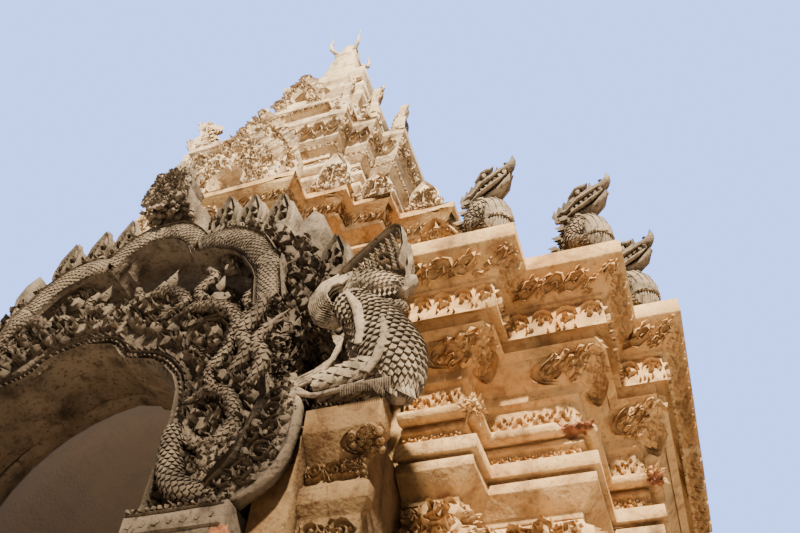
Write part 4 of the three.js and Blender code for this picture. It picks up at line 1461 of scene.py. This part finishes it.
class Guardian:
    """A seated lion-headed serpent that leans its fluted chest and open jaws over the slab corner.

    Its own measures are for a height of 0.6 m, as (forward, up, across)."""

    FORWARD = np.array([0.83, -0.56, 0])
    ACROSS = np.array([0.56, 0.83, 0])
    SKYWARD = np.array([0, 0, 1.0])

    def __init__(self, carving, x, y, foot, height, slim=1.0):
        self.carving = carving
        self.origin = np.array([x, -y, foot])
        self.size = height / 0.6
        self.slim = slim
        self.chest()
        self.back()
        for side in (-1, 1):
            self.leg(side)
            self.mane(side)
            self.jaw_side(side)
        self.head()

    def at(self, out, up, side=0.0):
        """A place in the gate from one in the figure's own measures."""
        level = self.FORWARD * out + self.ACROSS * side
        return self.origin + (level * self.slim + self.SKYWARD * up) * self.size

    def limb(self, points, radii, sides=12, rings=None, flat=1.0):
        """A rounded body along points in the figure's own measures."""
        body = Limb(
            [self.at(*p) for p in points], np.array(radii) * self.size * self.slim, side=self.ACROSS,
            flat=flat, rings=rings)
        body.skin(self.carving, sides)
        return body

    def ridges(self, body, angles, start, end, thick):
        """Raised lines along a body, one at each angle."""
        for angle in angles:
            line = body.point(np.linspace(start, end, 7), np.full(7, angle), np.full(7, 0.001))
            Limb(line, np.full(7, thick * self.size * self.slim), rings=10).skin(self.carving, 5)

    def flame(self, foot, rise, lean, half, thick):
        """A curved spike in the figure's own measures."""
        flame(self.carving, foot, rise * self.size, lean * 0.5, half * self.size, thick * self.size)

    def ball(self, centre, radius, rings=4, sides=6):
        """A small lump in the figure's own measures."""
        ball(self.carving, centre, radius * self.size, rings=rings, sides=sides)

    def chest(self):
        """The leaning fluted chest with its bib and two strings of beads."""
        chest = self.limb(
            [(0.02, -0.01), (0.05, 0.07), (0.05, 0.16), (0.01, 0.25), (-0.05, 0.33), (-0.08, 0.42)],
            [0.070, 0.076, 0.074, 0.068, 0.062, 0.056], sides=18, rings=24)
        self.ridges(chest, np.linspace(-1.8, 1.8, 19), 0.02, 0.34, 0.006)
        bib = self.limb(
            [(0.053, 0.085), (0.052, 0.15), (0.04, 0.21), (0.005, 0.28), (-0.05, 0.34)],
            [0.088, 0.089, 0.083, 0.074, 0.066], sides=18, rings=16)
        self.ridges(bib, np.linspace(-1.6, 1.6, 9), 0.1, 0.9, 0.0045)
        for angle in np.linspace(-2.3, 2.3, 19):
            self.ball(bib.point(0.02, angle, -0.004), 0.013, sides=5)
            self.ball(bib.point(0.95, angle, 0.002), 0.010)

    def back(self):
        """The scaled back with a ruffled cape."""
        line = [(-0.08, 0.0), (-0.10, 0.10), (-0.10, 0.22), (-0.09, 0.34)]
        back = self.limb(line, [0.085, 0.09, 0.075, 0.06], sides=14)
        back.scaled(self.carving, 0.028 * self.size, 0.014)
        for _ in range(26):
            behind = self.at(rng.uniform(-0.20, -0.12), rng.uniform(0.03, 0.34), rng.uniform(-0.07, 0.07))
            self.flame(behind, self.FORWARD * -0.035 + self.SKYWARD * 0.045, self.FORWARD, 0.022, 0.013)

    def leg(self, side):
        """A scaled foreleg with a row of knobs."""
        leg = self.limb(
            [(0.00, 0.28, side * 0.065), (0.00, 0.20, side * 0.095), (-0.030, 0.11, side * 0.112),
             (0.0, 0.045, side * 0.112), (0.08, 0.015, side * 0.095)],
            [0.044, 0.050, 0.046, 0.038, 0.026], sides=10)
        leg.scaled(self.carving, 0.024 * self.size, 0.010)
        for share in np.linspace(0.06, 0.94, 11):
            self.ball(leg.point(share, 0.3, 0.002), 0.012)

    def mane(self, side):
        """Locks of the mane down one side of the neck."""
        for row in range(4):
            for k in range(3):
                foot = self.at(-0.05 - 0.035 * row, 0.33 - 0.06 * row, side * (0.065 + 0.02 * k))
                away = self.FORWARD * -0.045 + self.ACROSS * side * 0.035
                fall = self.SKYWARD * (0.05 - 0.015 * k)
                self.flame(foot, away - fall, self.SKYWARD, 0.020, 0.012)

    def jaw_side(self, side):
        """Teeth, eye, brow, lips, cheek curl and nostril of one side."""
        for k in range(7):
            t = k / 6
            tooth = self.at(-0.04 + 0.20 * t, 0.437 + 0.02 * t, side * 0.05 * (1 - 0.45 * t))
            self.ball(tooth, 0.0155, rings=5, sides=7)
        self.ball(self.at(0.02, 0.54, side * 0.052), 0.023, rings=5)
        self.limb(
            [(-0.05, 0.545, side * 0.055), (0.02, 0.572, side * 0.06), (0.08, 0.55, side * 0.05),
             (0.10, 0.57, side * 0.05)], [0.012, 0.015, 0.012, 0.004], sides=6)
        self.limb(
            [(-0.14, 0.40, side * 0.05), (-0.02, 0.395, side * 0.06), (0.10, 0.405, side * 0.048),
             (0.17, 0.445, side * 0.02)], [0.012, 0.014, 0.012, 0.006], sides=6)
        self.limb(
            [(-0.12, 0.45, side * 0.055), (0.02, 0.475, side * 0.06), (0.12, 0.48, side * 0.042),
             (0.18, 0.50, side * 0.02)], [0.012, 0.013, 0.011, 0.006], sides=6)
        curl = spiral(0, 0, 0.05, 0.5, 1.2, n=12)
        self.limb(
            [(-0.13 + u, 0.43 + v, side * 0.06) for u, v in curl], np.linspace(0.014, 0.008, 12), sides=6,
            rings=20)
        self.ball(self.at(0.165, 0.54, side * 0.018), 0.014, sides=5)

    def head(self):
        """Upper jaw with its upturned tip, lower jaw, and the crest of flames."""
        upper = self.limb(
            [(-0.14, 0.46), (-0.05, 0.51), (0.06, 0.51), (0.15, 0.50), (0.20, 0.53), (0.205, 0.60)],
            [0.045, 0.058, 0.048, 0.034, 0.022, 0.003], rings=24, flat=1.1)
        self.ridges(upper, (-0.5, 0.0, 0.5), 0.1, 0.75, 0.007)
        self.limb(
            [(-0.13, 0.41), (-0.03, 0.375), (0.08, 0.38), (0.15, 0.41), (0.175, 0.455)],
            [0.034, 0.033, 0.026, 0.017, 0.004], rings=20, flat=1.2)
        for lane in (-0.045, 0.0, 0.045):
            for k in range(7):
                lift = 0.10 + (0.045 if lane == 0 else 0) - 0.008 * k
                foot = self.at(-0.16 + 0.038 * k, 0.475 + 0.010 * k, lane)
                rise = self.FORWARD * (-0.065 + 0.008 * k) + self.SKYWARD * lift
                self.flame(foot, rise, self.FORWARD, 0.028, 0.013)


def carve_guardians():
    """The three guardians on the steps of one corner of the body."""
    carving = Carving()
    for x, y, height in GUARDIANS:
        Guardian(carving, x, y, FOOTING_TOP, height)
    return carving


# Carving on the tower

GABLES = [(0.850, 1.250, 0.165, 0.490), (1.160, 1.090, 0.140, 0.310), (1.490, 0.860, 0.150, 0.360)]
GABLE_FOOT = 6.68
SECOND_SLAB_TOP = 8.05
NICHES = {
    "lower": (0.450, 6.68, 7.62, 1.450, (0.14, 6.75, 7.00)),
    "middle": (0.520, 6.68, 8.17, 1.309, (0.15, 7.40, 7.70)),
    "upper": (0.290, 8.80, 9.74, 0.820, (0.075, 9.18, 9.38)),
}
NICHE_SHAPE = ((1.0, 0.0), (1.0, 0.35), (0.86, 0.5), (0.5, 0.72), (0.22, 0.84), (0.0, 1.0))


def carve_tower():
    """Bands, corner sprays, scroll gables and seated serpents of the tower."""
    carving = Carving()

    def vine(c, length, height, front):
        running_scroll(c, 0.01, length - 0.01, 0, height, 0.028)

    def row(c, length, height, front):
        leaf_row(c, 0, length, 0, height, 0.03, 0.055)

    def roll(c, length, height, front):
        flat_roll(c, length, height, 8, 0.45, 0.022)

    def corner(c, length, height, front):
        width = min(0.2, length * 0.8)
        leaf_mask(c, length - width if front else 0, length if front else width, 0, height, 0.035, front)

    def framed(c, length, height, front):
        if length > 0.16:
            left, right, top = 0.03, length - 0.03, height - 0.03
            line = [(left, 0.03), (left, top), (right, top), (right, 0.03)]
            stroke(c, even_line(np.array(line), 40), 0.013, 0.028)
            piece = Carving()
            corner(piece, length, height * 0.8, front)
            c.merge(piece, lambda v: v * (0.8, 0.9, 1) + (length * 0.1, height * 0.05, 0))

    def band(steps, low, high, draw):
        on_steps(carving, steps, 0.0, low, high, draw)

    band(FIRST_STEPS, (0.26, 5.97), (0.26, 6.29), framed)
    band(FIRST_STEPS, (0.24, 5.705), (0.24, 5.795), row)
    band(FIRST_STEPS, (0.26, 5.27), (0.26, 5.50), corner)
    band(FIRST_STEPS, (0.22, 6.305), (0.22, 6.335), roll)
    band(FIRST_STEPS, (0.12, 6.462), (0.12, 6.498), roll)
    band(FIRST_STEPS, (0.115, 6.505), (0.035, 6.572), row)
    band(FIRST_STEPS, (0.022, 6.615), (0.022, 6.675), row)
    band(SECOND_STEPS, (0.24, 6.96), (0.24, 7.11), corner)
    band(SECOND_STEPS, (0.20, 7.285), (0.20, 7.335), row)
    band(SECOND_STEPS, (0.22, 7.46), (0.22, 7.59), corner)
    band(SECOND_STEPS, (0.14, 7.702), (0.14, 7.748), row)
    band(SECOND_STEPS, (0.095, 7.828), (0.026, 7.952), vine)
    band(THIRD_STEPS, (0.16, 8.27), (0.16, 8.43), corner)
    band(THIRD_STEPS, (0.15, 8.555), (0.15, 8.635), row)
    band(THIRD_STEPS, (0.04, 8.722), (0.004, 8.738), row)
    band(FOURTH_STEPS, (0.09, 8.95), (0.09, 9.15), corner)
    band(FOURTH_STEPS, (0.08, 9.31), (0.08, 9.43), row)
    band(FIFTH_STEPS, (0.06, 9.75), (0.06, 9.98), corner)
    for x, front, half, height in GABLES:
        leaf = Carving()
        edge_leaf(leaf, x, GABLE_FOOT + 0.01, GABLE_FOOT + height - 0.02, half * 0.92, 0.035)
        low, high = GABLE_FOOT + 0.02, GABLE_FOOT + height * 0.6
        field = [(x - half, low), (x + half, low), (x + half * 0.4, high), (x - half * 0.4, high)]
        fill(leaf, field, 0.042, 0.045)
        carving.merge(leaf, upright(front))
    for x, y, height in TOWER_NAGAS:
        Guardian(carving, x, y, SECOND_SLAB_TOP, height, slim=0.62)
    return carving


def carve_niches():
    """Flame leaves and foliage on the gabled niches."""
    carving = Carving()
    for half, foot, top, face, (wide, low, high) in NICHES.values():
        rise = top - foot
        edge = [(half * w, foot + rise * t) for w, t in NICHE_SHAPE]
        piece = Carving()
        inner = [(wide + 0.04, foot + 0.03), (wide + 0.04, (low + high) / 2), (0.03, high + 0.06)]
        field = [(max(x - 0.03, 0.01), z) for x, z in edge] + inner[::-1]
        size = 0.05 if half > 0.35 else 0.04
        fill(piece, field, size, 0.045)
        jamb = wide + 0.015
        opening = [(jamb, low), (jamb, (low + high) / 2), (wide * 0.6, high - 0.03), (0.01, high + 0.01)]
        stroke(piece, smooth_line(opening, 20), 0.014, 0.04)
        line = even_line(np.array(edge[1:]), max(6, int(rise / 0.09)))
        for k, (x, z) in enumerate(line[:-1]):
            for shift in (0.0, 0.045):
                leaflet(
                    piece, x - 0.05 - shift * 0.5, z - 0.03 + shift, rng.uniform(0.5, 1.2),
                    rng.uniform(0.09, 0.15), rng.uniform(-0.9, 0.9), 0.026, 0.045, n=5)
        carving.merge(piece, upright(face))
    return carving


add_quadrants("cornice_carving", carve_cornice(), "warm_stucco")
add_quadrants("slab_gable", carve_slab_gable(), "warm_stucco")
add_quadrants("arch_carving", carve_arch(), "weathered_stucco")
add_quadrants("pediment_carving", carve_pediment(), "weathered_stucco")
add_quadrants("recess_carving", carve_recess(), "weathered_stucco")
add_quadrants("outer_capital_carving", carve_outer_capital(), "warm_stucco")
add_quadrants("inner_capital_carving", carve_inner_capital(), "weathered_stucco")
add_quadrants("scroll_leaf_carving", carve_scroll_leaf(), "weathered_stucco")
add_quadrants("sea_beast_figure", carve_sea_beast(), "weathered_stucco", "sea_beast")
add_quadrants("guardian_figures", carve_guardians(), "weathered_stucco", "guardians")
add_quadrants("tower_carving", carve_tower(), "pale_stucco", share=TOWER_SHARE)
add_quadrants("niche_carving", carve_niches(), "pale_stucco")


# Camera, lights and stage

FLOOR_REACH = 9
FLOOR_COLOUR = (0.52, 0.46, 0.39)
BACKDROP = ((0.46, 0.72, 1.70), 1.85)
DAYLIGHT = ((0.66, 0.74, 0.88), 0.26)
# Each light: name, place, aim, size, power and colour
LIGHTS = (
    ("key", (10, -20, 22), (0.5, 0, 6), 1.5, 33000, (1.0, 0.88, 0.68)),
    ("back", (-8, 22, 12), (0, 0, 5), 10.0, 5000, (1.0, 0.94, 0.86)),
    ("fill", (-14, -10, 8), (1, 0, 5), 8.0, 300, (1.0, 0.92, 0.84)),
)


def make_camera():
    """The photograph's camera, solved from its straight edges."""
    data = bpy.data.cameras.new("camera")
    camera = bpy.data.objects.new("camera", data)
    bpy.context.collection.objects.link(camera)
    columns = (RIGHT, [-v for v in DOWN], [-v for v in AHEAD], EYE)
    camera.matrix_world = Matrix([[c[row] for c in columns] for row in range(3)] + [[0, 0, 0, 1]])
    data.sensor_width = SENSOR
    data.lens = FOCAL_PIXELS * SENSOR / IMAGE_WIDTH
    data.clip_end = 200
    bpy.context.scene.camera = camera


def add_area(name, location, target, size, power, colour):
    """A square area light that aims at a target."""
    data = bpy.data.lights.new(name, "AREA")
    data.size = size
    data.energy = power
    data.color = colour
    light = bpy.data.objects.new(name, data)
    light.location = location
    aim = Vector(target) - Vector(location)
    light.rotation_euler = aim.to_track_quat("-Z", "Y").to_euler()
    bpy.context.collection.objects.link(light)


def make_floor():
    """A plain pale floor at ground level."""
    mesh = bpy.data.meshes.new("floor")
    mesh.from_pydata(
        [(FLOOR_REACH * x, FLOOR_REACH * y, 0) for x, y in ((-1, -1), (1, -1), (1, 1), (-1, 1))], [],
        [(0, 1, 2, 3)])
    floor = bpy.data.objects.new("floor", mesh)
    floor.location.z = -0.003
    bpy.context.collection.objects.link(floor)
    material = bpy.data.materials.new("pale_floor")
    material.use_nodes = True
    shader = material.node_tree.nodes["Principled BSDF"]
    shader.inputs["Base Color"].default_value = (*FLOOR_COLOUR, 1)
    shader.inputs["Roughness"].default_value = 0.9
    mesh.materials.append(material)


def make_sky():
    """A blue backdrop for the camera, and soft daylight for everything else."""
    world = bpy.data.worlds.new("backdrop")
    world.use_nodes = True
    nodes = world.node_tree.nodes
    links = world.node_tree.links
    backdrop = nodes["Background"]
    daylight = nodes.new("ShaderNodeBackground")
    for node, (colour, strength) in ((backdrop, BACKDROP), (daylight, DAYLIGHT)):
        node.inputs["Color"].default_value = (*colour, 1)
        node.inputs["Strength"].default_value = strength
    seen = nodes.new("ShaderNodeLightPath")
    either = nodes.new("ShaderNodeMixShader")
    links.new(seen.outputs["Is Camera Ray"], either.inputs[0])
    links.new(daylight.outputs["Background"], either.inputs[1])
    links.new(backdrop.outputs["Background"], either.inputs[2])
    links.new(either.outputs["Shader"], nodes["World Output"].inputs["Surface"])
    bpy.context.scene.world = world


make_camera()
make_floor()
make_sky()
for light in LIGHTS:
    add_area(*light)
